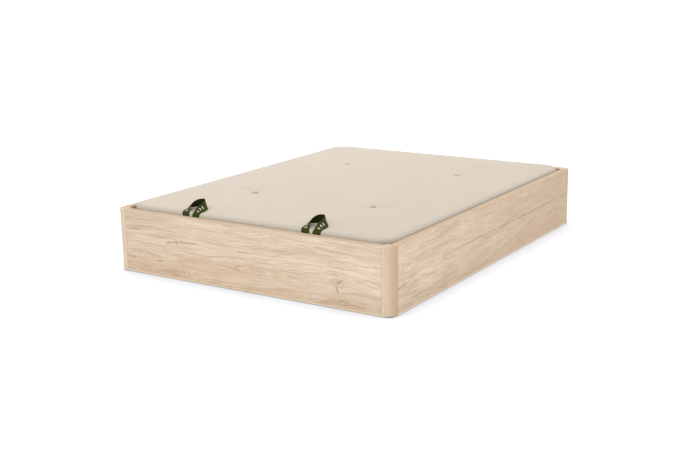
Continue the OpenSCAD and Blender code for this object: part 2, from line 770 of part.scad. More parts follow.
module strap_rivets() {
    head_y = strap_face_y - clamp_t;
    wall_y = -frame_y + tube_wall;
    color(bright_steel) at_strap_rivets() {
        translate([0, 0, head_y - 1]) cylinder(h = 1, r = rivet_r + 1.5, $fn = 24);
        translate([0, 0, head_y]) cylinder(h = wall_y - head_y, r = rivet_r, $fn = 16);
        translate([0, 0, wall_y]) cylinder(h = 3, r = rivet_r + 1, $fn = 24);
    }
}

// ---------------------------------------------------------------- gas springs

// Draws its children along a gas spring: +Z runs from the lower stud to the upper one
module on_spring(s) {
    on_side(s) translate([gas_x, lower_y, lower_stud_z]) rotate([gas_tilt, 0, 0]) children();
}

// An eye of the end fitting, with a hole along X
module eye(r, hole_r) {
    rotate([0, 90, 0]) difference() {
        cylinder(h = eye_w, r = r, center = true, $fn = 48);
        cylinder(h = eye_w + 2, r = hole_r, center = true, $fn = 48);
    }
}

module gas_lower_studs() {
    inner_x = gas_x - eye_w / 2;
    color(bright_steel) for (s = [-1, 1]) on_side(s) translate([0, lower_y, lower_stud_z]) rotate([0, 90, 0]) {
        translate([0, 0, inner_x - 0.2 - 2]) cylinder(h = 2, r = stud_r + 2, $fn = 32);
        translate([0, 0, inner_x - 0.2]) cylinder(h = in_x - inner_x + 0.2, r = stud_r, $fn = 32);
        translate([0, 0, gas_x + eye_w / 2 + 0.2])
            cylinder(h = in_x - plate_t - gas_x - eye_w / 2 - 0.2, r = stud_r + 3, $fn = 32);
    }
}

// Angle under the side tube with the stud that the rod's eye pushes on
module gas_upper_brackets() {
    inner_x = gas_x - eye_w / 2;
    color(grey_steel) for (s = [-1, 1]) on_side(s) {
        translate([frame_x - tube_size, upper_y - 25, tube_z - 3]) cube([tube_size, 50, 3]);
        side_plate(frame_x - 3, 3) union() {
            polygon([[upper_y - 25, tube_z], [upper_y - 10, upper_z], [upper_y + 10, upper_z], [upper_y + 25, tube_z]]);
            translate([upper_y, upper_z]) circle(r = 10, $fn = 48);
        }
        translate([0, upper_y, upper_z]) rotate([0, 90, 0]) {
            translate([0, 0, inner_x - 3.2]) cylinder(h = 2, r = upper_hole_r + 1, $fn = 32);
            translate([0, 0, inner_x - 2]) cylinder(h = frame_x - inner_x, r = stud_r, $fn = 32);
        }
    }
}

module gas_cylinder(s) {
    bore_r = cylinder_r - barrel_wall;
    color(black) on_spring(s) difference() {
        translate([0, 0, barrel_from]) cylinder(h = barrel_to - barrel_from, r = cylinder_r, $fn = 48);
        translate([0, 0, barrel_from + 6])
            cylinder(h = barrel_to - barrel_from - 6 - gland_l, r = bore_r, $fn = 48);
        translate([0, 0, barrel_to - gland_l - 1]) cylinder(h = gland_l + 2, r = rod_r + pin_play, $fn = 48);
    }
}

module gas_lower_end(s) {
    color(grey_plastic) on_spring(s) {
        eye(lower_eye_r, stud_r + pin_play);
        translate([0, 0, lower_eye_r - 2]) cylinder(h = barrel_from - lower_eye_r + 2, r = 6, $fn = 32);
    }
}

module gas_rod(s) {
    piston_r = cylinder_r - barrel_wall - 0.1;
    color(bright_steel) on_spring(s) {
        translate([0, 0, rod_from]) cylinder(h = rod_to - rod_from, r = rod_r, $fn = 48);
        translate([0, 0, rod_from]) cylinder(h = piston_l, r = piston_r, $fn = 48);
    }
}

module gas_upper_end(s) {
    color(grey_plastic) on_spring(s) {
        translate([0, 0, gas_len]) eye(upper_eye_r, upper_hole_r);
        translate([0, 0, rod_to]) cylinder(h = gas_len - upper_eye_r - rod_to + 1, r = 6, $fn = 32);
    }
}

module gas_cylinder_left() { gas_cylinder(-1); }
module gas_cylinder_right() { gas_cylinder(1); }
module gas_lower_end_left() { gas_lower_end(-1); }
module gas_lower_end_right() { gas_lower_end(1); }
module gas_rod_left() { gas_rod(-1); }
module gas_rod_right() { gas_rod(1); }
module gas_upper_end_left() { gas_upper_end(-1); }
module gas_upper_end_right() { gas_upper_end(1); }

foot_panel();
head_panel();
left_side_panel();
right_side_panel();
corner_post_foot_left();
corner_post_foot_right();
corner_post_head_left();
corner_post_head_right();
corner_dowels();
corner_brackets();
corner_bracket_screws();
corner_hanger_bolts();
ledger_foot();
ledger_head();
ledger_left();
ledger_right();
ledger_screws();
center_rail();
center_rail_feet();
floor_boards();
floor_glides();
rest_cleat_foot();
rest_cleat_left();
rest_cleat_right();
cleat_screws();
lid_bumpers();
hinge_bracket_left();
hinge_bracket_right();
hinge_bracket_screws();
hinge_pins();
hinge_washers();
gas_lower_studs();
lid_tube_foot();
lid_tube_head();
lid_tube_left();
lid_tube_right();
lid_corner_bends();
lid_cross_tubes();
lid_board();
lid_pad();
air_vents();
hinge_arm_left();
hinge_arm_right();
hinge_bushes();
hinge_arm_rivets();
gas_upper_brackets();
pull_strap_left();
pull_strap_right();
strap_clamp_plates();
strap_rivets();
gas_cylinder_left();
gas_lower_end_left();
gas_rod_left();
gas_upper_end_left();
gas_cylinder_right();
gas_lower_end_right();
gas_rod_right();
gas_upper_end_right();
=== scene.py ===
# %% [markdown]
# # A storage bed base with a lift-up padded lid
# The frame holds every rigid piece at its real size, so this file only dresses it: it adds the studio, the
# padded lid, the two webbing loops and the finishes. We load the frame first. The finished model must not
# outgrow it.

# %% Load the frame
import math
import bmesh
import bpy
from mathutils import Matrix, Vector


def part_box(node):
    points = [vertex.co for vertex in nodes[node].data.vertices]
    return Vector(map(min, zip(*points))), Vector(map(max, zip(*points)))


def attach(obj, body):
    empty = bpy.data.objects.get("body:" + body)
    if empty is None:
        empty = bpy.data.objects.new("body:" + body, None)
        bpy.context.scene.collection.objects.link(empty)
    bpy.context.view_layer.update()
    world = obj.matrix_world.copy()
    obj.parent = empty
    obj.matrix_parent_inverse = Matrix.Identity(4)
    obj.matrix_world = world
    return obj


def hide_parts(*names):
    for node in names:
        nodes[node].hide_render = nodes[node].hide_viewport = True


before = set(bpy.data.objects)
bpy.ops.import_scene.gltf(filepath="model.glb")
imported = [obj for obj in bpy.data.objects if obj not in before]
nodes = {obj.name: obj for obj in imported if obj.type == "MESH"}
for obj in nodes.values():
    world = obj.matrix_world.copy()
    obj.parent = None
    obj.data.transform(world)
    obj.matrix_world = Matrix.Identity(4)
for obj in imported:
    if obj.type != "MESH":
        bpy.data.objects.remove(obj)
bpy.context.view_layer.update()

# %% [markdown]
# ## Making objects
# A mesh can be built from lists of points and faces, or step by step in a bmesh. We use a bmesh for
# everything new, and these two helpers turn it into an object of the scene.

# %% Object helpers
def place_object(name, data):
    made = bpy.data.objects.new(name, data)
    bpy.context.scene.collection.objects.link(made)
    return made

def mesh_object(mesh, name):
    """Turns a finished bmesh into an object."""
    data = bpy.data.meshes.new(name)
    mesh.to_mesh(data)
    mesh.free()
    return place_object(name, data)

print("object helpers ready")

# %% [markdown]
# ## The camera
# The photograph was taken from the foot end, a little to the right, from about chest height.
# A camera can be aimed with a track constraint, but here the three axes are worked out from three
# angles, so that the small tilt of the picture is kept too.

# %% Camera
CAMERA_PLACE = Vector((2.9419, -4.6677, 1.4580))
TURN = math.radians(-32.985)
DOWN = math.radians(14.060)
TILT = math.radians(-1.044)
LENS_MM = 58.28
SENSOR_MM = 36

def camera_axes(turn, down, tilt):
    """Right, up and back of a camera that looks along +Y when all three angles are zero."""
    ahead = Vector((math.sin(turn) * math.cos(down), math.cos(turn) * math.cos(down), -math.sin(down)))
    level = Vector((math.cos(turn), -math.sin(turn), 0))
    above = level.cross(ahead)
    right = level * math.cos(tilt) + above * math.sin(tilt)
    up = above * math.cos(tilt) - level * math.sin(tilt)
    return right, up, -ahead

camera_data = bpy.data.cameras.new("photo_camera")
camera_data.sensor_width = SENSOR_MM
camera_data.sensor_fit = "HORIZONTAL"
camera_data.lens = LENS_MM
camera = place_object("photo_camera", camera_data)
aim = Matrix(camera_axes(TURN, DOWN, TILT)).transposed().to_4x4()
camera.matrix_world = Matrix.Translation(CAMERA_PLACE) @ aim
bpy.context.scene.camera = camera
print("camera", LENS_MM, "mm lens,", round(CAMERA_PLACE.length, 2), "m from the middle of the floor")

# %% [markdown]
# ## Helpers for node materials
# A material's node tree can be wired by hand in the editor. In code it reads best when each node is
# one call, so `add` makes a node and `feed` either links or writes each of its inputs. The
# arithmetic helpers take two or more values, and a value is a number or another node's output.

# %% Node helpers
def feed(tree, socket, value):
    """Links a socket to another one, or writes a plain value into it."""
    if isinstance(value, bpy.types.NodeSocket):
        tree.links.new(value, socket)
    else:
        socket.default_value = value

def feed_all(tree, sockets, values):
    for name, value in values.items():
        feed(tree, sockets[name], value)

def add(tree, kind, inputs=None, **settings):
    """A new node with its own settings and inputs."""
    made = tree.nodes.new(kind)
    for name, value in settings.items():
        setattr(made, name, value)
    feed_all(tree, made.inputs, inputs or {})
    return made

def math_node(tree, operation, a, b=0.0, clamp=False):
    return add(tree, "ShaderNodeMath", {0: a, 1: b}, operation=operation, use_clamp=clamp).outputs[0]

def chain(operation):
    """Makes a function that works one operation through two or more values."""
    def work(tree, first, *others):
        for other in others:
            first = math_node(tree, operation, first, other)
        return first
    return work

times, plus, minus, over, greatest = map(chain, ("MULTIPLY", "ADD", "SUBTRACT", "DIVIDE", "MAXIMUM"))

def absolute(tree, value):
    return math_node(tree, "ABSOLUTE", value)

def centred(tree, value, swing):
    """Noise, which lies about a half, moved to lie around nought with the given swing."""
    return times(tree, minus(tree, value, 0.5), swing)

print("node helpers ready")

# %% [markdown]
# Vectors, noise, masks and colours get the same kind of helper. `remap` is the one used most: it
# turns a soft noise into a mask with clear edges, and `paint` lays tones over a base with such masks.

# %% Vector, mask and colour helpers
def vector_node(tree, operation, a, b):
    return add(tree, "ShaderNodeVectorMath", {0: a, 1: b}, operation=operation).outputs[0]

def length_of(tree, vector):
    return add(tree, "ShaderNodeVectorMath", {0: vector}, operation="LENGTH").outputs["Value"]

def vector_of(tree, x, y, z=0.0):
    return add(tree, "ShaderNodeCombineXYZ", {0: x, 1: y, 2: z}).outputs[0]

def axes_of(tree, vector):
    return add(tree, "ShaderNodeSeparateXYZ", {0: vector}).outputs

def noise_node(tree, place, scale, detail, rough=0.5):
    inputs = {"Vector": place, "Scale": scale, "Detail": detail, "Roughness": rough}
    return add(tree, "ShaderNodeTexNoise", inputs)

def noise(tree, place, scale, detail, rough=0.5):
    """Cloudy noise with `scale` spots per metre and `detail` finer layers."""
    return noise_node(tree, place, scale, detail, rough).outputs[0]

def remap(tree, value, low, high, to_low=0.0, to_high=1.0, smooth=True):
    """Turns a stretch of values into another one, held at both ends."""
    inputs = {"Value": value, "From Min": low, "From Max": high, "To Min": to_low, "To Max": to_high}
    kind = "SMOOTHSTEP" if smooth else "LINEAR"
    return add(tree, "ShaderNodeMapRange", inputs, interpolation_type=kind).outputs["Result"]

def mix_colors(tree, share, a, b):
    """Colour `a` with a share of colour `b` over it."""
    made = add(tree, "ShaderNodeMix", data_type="RGBA", clamp_factor=True)
    for name, value in (("Factor", share), ("A", a), ("B", b)):
        feed(tree, next(s for s in made.inputs if s.name == name and s.enabled), value)
    return next(s for s in made.outputs if s.enabled)

def paint(tree, base, layers):
    """Lays tones over a base, one after another. Each layer is (mask, tone)."""
    for mask, tone in layers:
        base = mix_colors(tree, mask, base, tone)
    return base

def color(red, green, blue):
    """A colour as it is seen, from 0 to 255, turned into the linear values that a shader takes."""
    def linear(value):
        value = value / 255
        return value / 12.92 if value <= 0.04045 else ((value + 0.055) / 1.055) ** 2.4
    return (linear(red), linear(green), linear(blue), 1.0)

print("mid grey is", round(color(128, 128, 128)[0], 3), "in linear light")

# %% [markdown]
# ## Node groups
# An effect that several materials share is built once as a group with named inputs, like a stamp
# that is set a little differently each time. A tuple as default value makes an input a vector.

# %% Group helpers
def group(name, inputs, outputs):
    """An empty node group, and the sockets of its two ends."""
    tree = bpy.data.node_groups.new(name, "ShaderNodeTree")
    for label, value in inputs.items():
        kind = "NodeSocketVector" if isinstance(value, tuple) else "NodeSocketFloat"
        tree.interface.new_socket(label, in_out="INPUT", socket_type=kind).default_value = value
    for label in outputs:
        tree.interface.new_socket(label, in_out="OUTPUT", socket_type="NodeSocketFloat")
    return tree, tree.nodes.new("NodeGroupInput").outputs, tree.nodes.new("NodeGroupOutput").inputs

def place_group(tree, used, inputs):
    """A copy of a group in a material, by its outputs."""
    return add(tree, "ShaderNodeGroup", inputs, node_tree=used).outputs

print("group helpers ready")

# %% [markdown]
# ## Group: wood figure
# Oak shows several things at once: growth rings that close into arches, soft streaks along the
# grain, thin dark lines, fine fibres, short pores, and broad light and dark patches.
# The arches come from a simple idea. A trunk is a slender cone, and a board is a flat slice of it,
# so a ring shows as a curve whose tip lies on the heart line and which opens along the board.
# The input vector is (along, across, depth) in metres, so each material decides which way its grain
# runs. `Bend` moves the whole figure sideways, which is how the grain flows round a knot.

# %% Wood noises
# Each noise: its own shift, spots per metre along and across the grain, finer layers, roughness.
WOOD_NOISES = {
    "sway": (2.6, 2.0, 7.0, 3.0, 0.5),
    "wander": (0.0, 1.3, 0.6, 2.0, 0.5),
    "wobble": (3.1, 6.0, 34.0, 3.0, 0.5),
    "ring zones": (4.4, 2.6, 11.0, 3.0, 0.5),
    "streaks": (6.6, 4.6, 78.0, 6.0, 0.64),
    "lines": (7.9, 5.0, 120.0, 3.0, 0.55),
    "line zones": (8.3, 3.0, 22.0, 3.0, 0.5),
    "fibres": (0.4, 9.0, 260.0, 5.0, 0.74),
    "pores": (1.7, 34.0, 900.0, 1.0, 0.5),
    "pore zones": (5.9, 3.5, 30.0, 2.0, 0.5),
    "patches": (9.2, 2.6, 11.0, 7.0, 0.66)}

wood_figure, wood_in, wood_out = group("wood figure",
    {"Grain": (0, 0, 0), "Heart": 0.15, "Ring": 0.01, "Depth": 0.02, "Taper": 0.1, "Bend": 0.0, "Seed": 0.0},
    ["Rings", "Streaks", "Lines", "Fibres", "Pores", "Patches"])

def wood_noise(name, grain):
    """One noise of the wood figure, drawn out along the grain."""
    shift, along, across, detail, rough = WOOD_NOISES[name]
    start = plus(wood_figure, wood_in["Seed"], shift)
    moved = vector_node(wood_figure, "ADD", grain, vector_of(wood_figure, start, start, start))
    drawn_out = vector_node(wood_figure, "MULTIPLY", moved, (along, across, across))
    return noise(wood_figure, drawn_out, 1.0, detail, rough)

print("wood noises:", len(WOOD_NOISES))

# %% Group: wood figure
SWAY = 0.060
WANDER = 0.10
WOBBLE = 0.014

t = wood_figure
split = axes_of(t, wood_in["Grain"])
sway = centred(t, wood_noise("sway", wood_in["Grain"]), SWAY)
across = plus(t, split["Y"], wood_in["Bend"], sway)
bent = vector_of(t, split["X"], across, split["Z"])
wander = centred(t, wood_noise("wander", wood_in["Grain"]), WANDER)
off_heart = minus(t, across, plus(t, wood_in["Heart"], wander))
radius = length_of(t, vector_of(t, off_heart, wood_in["Depth"]))
radius = minus(t, radius, times(t, split["X"], wood_in["Taper"]))
radius = plus(t, radius, centred(t, wood_noise("wobble", bent), WOBBLE))
turns = math_node(t, "FRACT", over(t, radius, wood_in["Ring"]))
ring = times(t, remap(t, turns, 0.2, 0.86), remap(t, turns, 1.0, 0.88))
ridge = absolute(t, centred(t, wood_noise("lines", bent), 2.0))
feed_all(t, wood_out, {
    "Rings": times(t, ring, remap(t, wood_noise("ring zones", bent), 0.40, 0.64)),
    "Streaks": remap(t, wood_noise("streaks", bent), 0.42, 0.67),
    "Lines": times(t, remap(t, ridge, 0.075, 0.0), remap(t, wood_noise("line zones", bent), 0.46, 0.62)),
    "Fibres": wood_noise("fibres", bent),
    "Pores": times(t, remap(t, wood_noise("pores", bent), 0.58, 0.70),
        remap(t, wood_noise("pore zones", bent), 0.45, 0.62)),
    "Patches": wood_noise("patches", bent)})
print("wood figure:", len(t.nodes), "nodes")

# %% [markdown]
# ## Group: knot
# A knot pushes the grain to both sides, has thin rings of its own and a darker eye. Each knot of a
# panel is one copy of this group with its own place and size. It hands back a bend for the figure
# and a dark mask. Above the knot the grain moves up and below it down, so the bend changes sign.

# %% Group: knot
KNOT_FUZZ = (0.05, 0.018, 0)
KNOT_RINGS = 12.0
RING_DARKNESS = 0.9
EYE_DARKNESS = 0.50

knot, knot_in, knot_out = group("knot",
    {"Face": (0, 0, 0), "Place": (0, 0, 0), "Length": 0.06, "Width": 0.02, "Push": 0.03}, ["Bend", "Eye"])
t = knot
away = vector_node(t, "SUBTRACT", knot_in["Face"], knot_in["Place"])
fuzz = noise_node(t, knot_in["Face"], 22.0, 3.0).outputs["Color"]
fuzz = vector_node(t, "MULTIPLY", vector_node(t, "SUBTRACT", fuzz, (0.5, 0.5, 0.5)), KNOT_FUZZ)
on_face = vector_node(t, "MULTIPLY", vector_node(t, "ADD", away, fuzz), (1, 1, 0))
scaled = vector_node(t, "DIVIDE", on_face, vector_of(t, knot_in["Length"], knot_in["Width"], 1.0))
reach = length_of(t, scaled)
side = remap(t, axes_of(t, scaled)["Y"], -0.7, 0.7, -1.0, 1.0)
own_rings = absolute(t, math_node(t, "SINE", times(t, reach, KNOT_RINGS)))
shells = times(t, remap(t, own_rings, 0.45, 0.05), remap(t, reach, 1.5, 0.9), RING_DARKNESS)
eye = times(t, remap(t, reach, 1.0, 0.1), EYE_DARKNESS)
feed_all(t, knot_out, {
    "Bend": times(t, knot_in["Push"], side, remap(t, reach, 3.0, 0.6)),
    "Eye": greatest(t, eye, shells)})
print("knot:", len(t.nodes), "nodes")

# %% [markdown]
# ## Group: stroke
# Oak also has single marks: a crack, a mineral streak, a joint line between two printed planks. Each
# is a short curved stroke. `Run` goes along it and `Cross` goes across it, so a material can also
# swap the two and draw an upright crack. A little noise makes the stroke waver and break.

# %% Group: stroke
WAVER = 0.016

stroke, stroke_in, stroke_out = group("stroke",
    {"Face": (0, 0, 0), "Run": 0.0, "Cross": 0.0, "From": 0.0, "To": 0.1, "First": 0.1, "Last": 0.1,
        "Sag": 0.0, "Width": 0.004}, ["Mark"])
t = stroke
part = over(t, minus(t, stroke_in["Run"], stroke_in["From"]), minus(t, stroke_in["To"], stroke_in["From"]))
rise = times(t, minus(t, stroke_in["Last"], stroke_in["First"]), part)
bow = times(t, part, minus(t, 1.0, part), times(t, stroke_in["Sag"], 4.0))
middle = plus(t, stroke_in["First"], plus(t, rise, bow))
waver = centred(t, noise(t, stroke_in["Face"], 16.0, 4.0), WAVER)
gap = absolute(t, plus(t, minus(t, stroke_in["Cross"], middle), waver))
broken = noise(t, stroke_in["Face"], 45.0, 3.0)
width = times(t, stroke_in["Width"], remap(t, broken, 0.3, 0.7, 0.35, 1.5))
line = remap(t, over(t, gap, width), 1.0, 0.2)
ends = times(t, remap(t, part, -0.08, 0.14), remap(t, part, 1.08, 0.86))
feed(t, stroke_out["Mark"], times(t, line, ends))
print("stroke:", len(t.nodes), "nodes")

# %% [markdown]
# ## Group: surface breakup
# Nothing real is perfectly even. This group gives a little uneven gloss, a faint tint and a fine
# height. Wood takes its gloss from it, and every hard material takes all three.

# %% Group: surface breakup
breakup, breakup_in, breakup_out = group("surface breakup",
    {"Place": (0, 0, 0), "Scale": 60.0, "Gloss": 0.4, "Gloss spread": 0.1}, ["Roughness", "Tint", "Height"])
t = breakup
broad = noise(t, breakup_in["Place"], breakup_in["Scale"], 4.0)
fine = noise(t, breakup_in["Place"], times(t, breakup_in["Scale"], 14.0), 2.0)
spread = centred(t, broad, times(t, breakup_in["Gloss spread"], 2.0))
feed_all(t, breakup_out, {
    "Roughness": math_node(t, "ADD", breakup_in["Gloss"], spread, clamp=True),
    "Tint": remap(t, broad, 0.3, 0.7),
    "Height": plus(t, times(t, broad, 0.4), times(t, fine, 0.6))})
print("surface breakup:", len(t.nodes), "nodes")

# %% [markdown]
# ## Starting a material
# Every material starts the same way: a Principled shader, the object's own coordinates (which are
# metres in the bed's frame) and a bump node for its height.

# %% Material starter
def empty_tree(owner, output="ShaderNodeOutputMaterial"):
    """Clears the nodes of a material or world, and hands back the socket that its surface goes to."""
    owner.use_nodes = True
    owner.node_tree.nodes.clear()
    return owner.node_tree, owner.node_tree.nodes.new(output).inputs["Surface"]

def start_material(name):
    material = bpy.data.materials.new(name)
    tree, surface = empty_tree(material)
    shader = tree.nodes.new("ShaderNodeBsdfPrincipled")
    tree.links.new(shader.outputs[0], surface)
    place = tree.nodes.new("ShaderNodeTexCoord").outputs["Object"]
    return material, tree, shader, place

def bump(tree, shader, height, distance, strength):
    made = add(tree, "ShaderNodeBump", {"Height": height, "Distance": distance, "Strength": strength})
    tree.links.new(made.outputs[0], shader.inputs["Normal"])

def uneven_gloss(tree, shader, place, scale, gloss, spread):
    """Puts the surface breakup into a material, and hands back its tint and height too."""
    inputs = {"Place": place, "Scale": scale, "Gloss": gloss, "Gloss spread": spread}
    made = place_group(tree, breakup, inputs)
    tree.links.new(made["Roughness"], shader.inputs["Roughness"])
    return made

print("groups so far:", [g.name for g in bpy.data.node_groups])

# %% [markdown]
# ## Oak decor of the four panels
# The panels are boards with a printed oak foil, a plain tan edge band along the top and a thin line of it
# along the bottom; that bottom line is painted lighter than the band, as painted light against the shade
# near the floor. The grain runs along each panel. Two maps are needed: the end panels run along X and the
# side panels along Y. We start with the colours and with one function that turns lists of knots, strokes and
# upright cracks into a bend for the grain and a mask of dark marks.

# %% Oak colours and marks
OAK_LIGHT = color(253, 235, 213)
OAK_MID = color(239, 216, 190)
OAK_LOW = color(218, 190, 159)
OAK_DARK = color(188, 157, 125)
OAK_KNOT = color(146, 117, 88)
EDGE_BAND = color(211, 183, 152)
# the thin band along the bottom, made lighter as painted light against the shade near the floor
BOTTOM_BAND_AND_PAINTED_LIGHT = color(246, 219, 184)
# the plain inside's tan, lighter and warmer than the wood, as painted bounce light in the gap
INSIDE_TAN_AND_BOUNCE = color(232, 191, 147)

def panel_marks(tree, face, run, height, knots, strokes, cracks):
    """The grain's bend and the mask of all marks on one panel. A crack is a stroke on end."""
    bend = 0.0
    marks = 0.0
    for mark in knots:
        x, z, length, width, push, dark = (v / 1000 for v in mark)
        inputs = {"Face": face, "Place": (x, z, 0), "Length": length, "Width": width, "Push": push}
        made = place_group(tree, knot, inputs)
        bend = minus(tree, bend, made["Bend"])
        marks = greatest(tree, marks, times(tree, made["Eye"], dark))
    for along, cross, mark in [(run, height, s) for s in strokes] + [(height, run, c) for c in cracks]:
        start, stop, first, last, sag, width, dark = (v / 1000 for v in mark)
        inputs = {"Face": face, "Run": along, "Cross": cross, "From": start, "To": stop,
            "First": first, "Last": last, "Sag": sag, "Width": width}
        made = place_group(tree, stroke, inputs)
        marks = greatest(tree, marks, times(tree, made["Mark"], dark))
    return bend, marks

print("oak colours ready")

# %% [markdown]
# The decor itself is painted in layers over a pale base: a darker lower part and a slow change along the
# board, then streaks, rings, lines, fibres and pores, then the marks, and last the plain inside, the bottom
# band and the band on the rim. The plain inside carries painted bounce light: its tan is lighter and warmer
# than the wood in the gap. The bottom band carries painted light against the shade near the floor. The print
# also gets a very shallow relief.

# %% Oak decor
INSIDE_SHIFT = 0.4
PLANK_SHIFT = 3.7

def oak_panel(name, along, seed, figure_of, marks_of, fade, outside=0.93, split_at=None, end_line=None,
        strength=1.0, fine=1.0):
    """Printed oak with its grain along "X" or "Y". `fade` is (from, to, share) of the darker tone along the
    board. Nearer the middle of the bed than `outside` it is the plain inside, in a tan that carries painted
    bounce light. Two printed planks meet at the height `split_at`, and the board's end shows as a thin line
    at `end_line`."""
    material, tree, shader, place = start_material(name)
    axes = axes_of(tree, place)
    height = axes["Z"]
    run, cross = (axes["X"], axes["Y"]) if along == "X" else (axes["Y"], axes["X"])
    face = vector_of(tree, run, height)
    shift = times(tree, cross, INSIDE_SHIFT)
    if split_at is not None:
        upper_plank = math_node(tree, "GREATER_THAN", height, split_at)
        shift = plus(tree, shift, times(tree, upper_plank, PLANK_SHIFT))
    grain = vector_of(tree, plus(tree, run, shift), height, shift)
    bend, marks = panel_marks(tree, face, run, height, **marks_of)
    figure = place_group(tree, wood_figure, {"Grain": grain, "Bend": bend, "Seed": seed, **figure_of})
    base = mix_colors(tree, remap(tree, figure["Patches"], 0.36, 0.64), OAK_LIGHT, OAK_MID)
    base = paint(tree, base, [
        (remap(tree, height, 0.115, 0.01, 0.0, 0.44), OAK_LOW),
        (remap(tree, run, fade[0], fade[1], 0.0, fade[2], smooth=False), OAK_LOW),
        (times(tree, figure["Streaks"], 0.42 * strength), OAK_DARK),
        (times(tree, figure["Rings"], 0.21 * strength), OAK_DARK),
        (times(tree, figure["Lines"], 0.26 * fine), OAK_KNOT),
        (remap(tree, figure["Fibres"], 0.44, 0.66, 0.0, 0.38 * fine), OAK_DARK),
        (times(tree, figure["Pores"], 0.36 * fine), OAK_KNOT),
        (marks, OAK_KNOT)])
    if end_line is not None:
        at_end = remap(tree, absolute(tree, run), end_line - 0.0045, end_line - 0.0015, 0.0, 0.30)
        base = mix_colors(tree, at_end, base, OAK_KNOT)
    # the plain inside, in a tan that carries painted bounce light
    inner = remap(tree, absolute(tree, cross), outside + 0.001, outside - 0.001)
    inside = mix_colors(tree, times(tree, figure["Streaks"], 0.3), INSIDE_TAN_AND_BOUNCE, OAK_KNOT)
    up = axes_of(tree, tree.nodes.new("ShaderNodeNewGeometry").outputs["Normal"])["Z"]
    band = mix_colors(tree, remap(tree, figure["Fibres"], 0.3, 0.8, 0.0, 0.22), EDGE_BAND, OAK_DARK)
    # the bottom band here is partly the real band and partly painted light against the shade by the floor
    base = paint(tree, base, [
        (inner, inside),
        (remap(tree, height, 0.0115, 0.0095), BOTTOM_BAND_AND_PAINTED_LIGHT),
        (remap(tree, up, 0.6, 0.9), band)])
    tree.links.new(base, shader.inputs["Base Color"])
    uneven_gloss(tree, shader, place, 9.0, 0.50, 0.06)
    relief = minus(tree, times(tree, figure["Fibres"], 0.5), figure["Pores"])
    bump(tree, shader, relief, 0.0004, 0.5)
    return material

print("oak decor ready")

# %% [markdown]
# The marks sit where the photograph has them, in millimetres on the panel's face, and a mark's
# darkness is in thousandths.
# A knot is (along, height, length, width, push, darkness).
# A stroke is (from, to, first height, last height, sag, width, darkness), and a crack is
# (from height, to height, first place, last place, sag, width, darkness).

# %% Oak on the end panels
FOOT_MARKS = {
    "knots": [(-430, 34, 100, 26, 26, 600), (490, 100, 30, 40, 14, 120), (77, 110, 75, 22, 16, 120),
        (168, 263, 30, 13, 12, 260), (530, 30, 150, 24, 18, 200)],
    "strokes": [(-455, -270, 172, 184, 4, 9, 460), (-690, -600, 211, 216, 2, 4, 550),
        (-520, -470, 74, 77, 1, 4, 600), (-700, -640, 75, 74, 1, 4, 550),
        (-660, -520, 120, 100, 4, 4, 360), (-600, -350, 230, 222, 4, 4, 300),
        (360, 530, 258, 247, -3, 5, 420), (180, 240, 130, 126, 2, 4, 360), (560, 694, 200, 207, 2, 3, 360),
        (383, 681, 18, 41, 10, 4, 340), (350, 640, 6, 22, 12, 5, 340), (656, 692, 138, 132, 0, 3, 600),
        (-100, -78, 14, 14, 0, 3, 750), (-36, -10, 183, 184, 0, 2, 400), (-228, 20, 128, 150, 12, 3, 240),
        (-228, 20, 128, 90, -10, 3, 240)],
    "cracks": [(65, 136, 493, 520, -22, 5, 750), (85, 128, 478, 500, -10, 6, 450)]}

foot_oak = oak_panel("oak decor, foot", "X", 1.3, {"Heart": 0.125, "Depth": 0.016, "Taper": 0.085},
    FOOT_MARKS, fade=(0.6, -0.7, 0.32), end_line=0.700)
print("foot oak:", len(foot_oak.node_tree.nodes), "nodes")

# %% [markdown]
# The side panels are calmer and a little darker towards the head. A joint between two printed
# planks runs along them, which two long strokes mark.

# %% Oak on the side panels
SIDE_MARKS = {
    "knots": [(640, 113, 60, 12, 7, 100), (-860, 203, 35, 26, 14, 140), (320, 296, 30, 10, 6, 340),
        (360, 85, 80, 10, 6, 50)],
    "strokes": [(-560, 480, 161, 166, 3, 4, 460), (300, 900, 164, 170, -2, 5, 460),
        (-905, -836, 113, 115, 1, 3.5, 550), (640, 790, 112, 118, 1, 4, 600),
        (-830, -770, 192, 198, 0, 3, 360), (-800, -740, 110, 112, 0, 3, 340),
        (-410, -350, 289, 291, 0, 3, 400), (-900, -500, 150, 158, 2, 3, 260),
        (385, 455, 108, 120, 2, 6, 460), (440, 500, 126, 130, 0, 3, 360)],
    "cracks": [(170, 225, -880, -850, 4, 3, 340)]}

side_oak = oak_panel("oak decor, side", "Y", 4.7, {"Heart": 0.070, "Depth": 0.012, "Taper": -0.07},
    SIDE_MARKS, fade=(-1.05, 0.80, 1.0), outside=0.73, split_at=0.166, strength=0.80, fine=1.5)
print("side oak:", len(side_oak.node_tree.nodes), "nodes")

# %% [markdown]
# ## Solid wood of the posts and battens
# The posts are real wood with upright grain, so the same figure group turns on end. Their tone runs from
# pale beside the end panels to a warm tan beside the side panels, as the photograph shows on every post.
# That tan is partly the wood's warmer tone and partly painted shade on the faces that turn to the sides. The
# battens inside are plain softwood: narrow rings, a yellower tone and no knots.

# %% Solid wood
POST_LIGHT = color(235, 216, 193)
POST_DARK = color(190, 154, 116)
# the colour the posts turn to beside the side panels: partly the wood's warmer tone, partly painted shade
POST_SIDE_TONE_AND_SHADE = color(210, 177, 139)
POST_TURN = (-0.248, -0.165)
BATTEN_LIGHT = color(222, 193, 150)
BATTEN_DARK = color(186, 142, 92)
SECOND_AXIS = 0.93
TRUNK_TAPER = 0.02

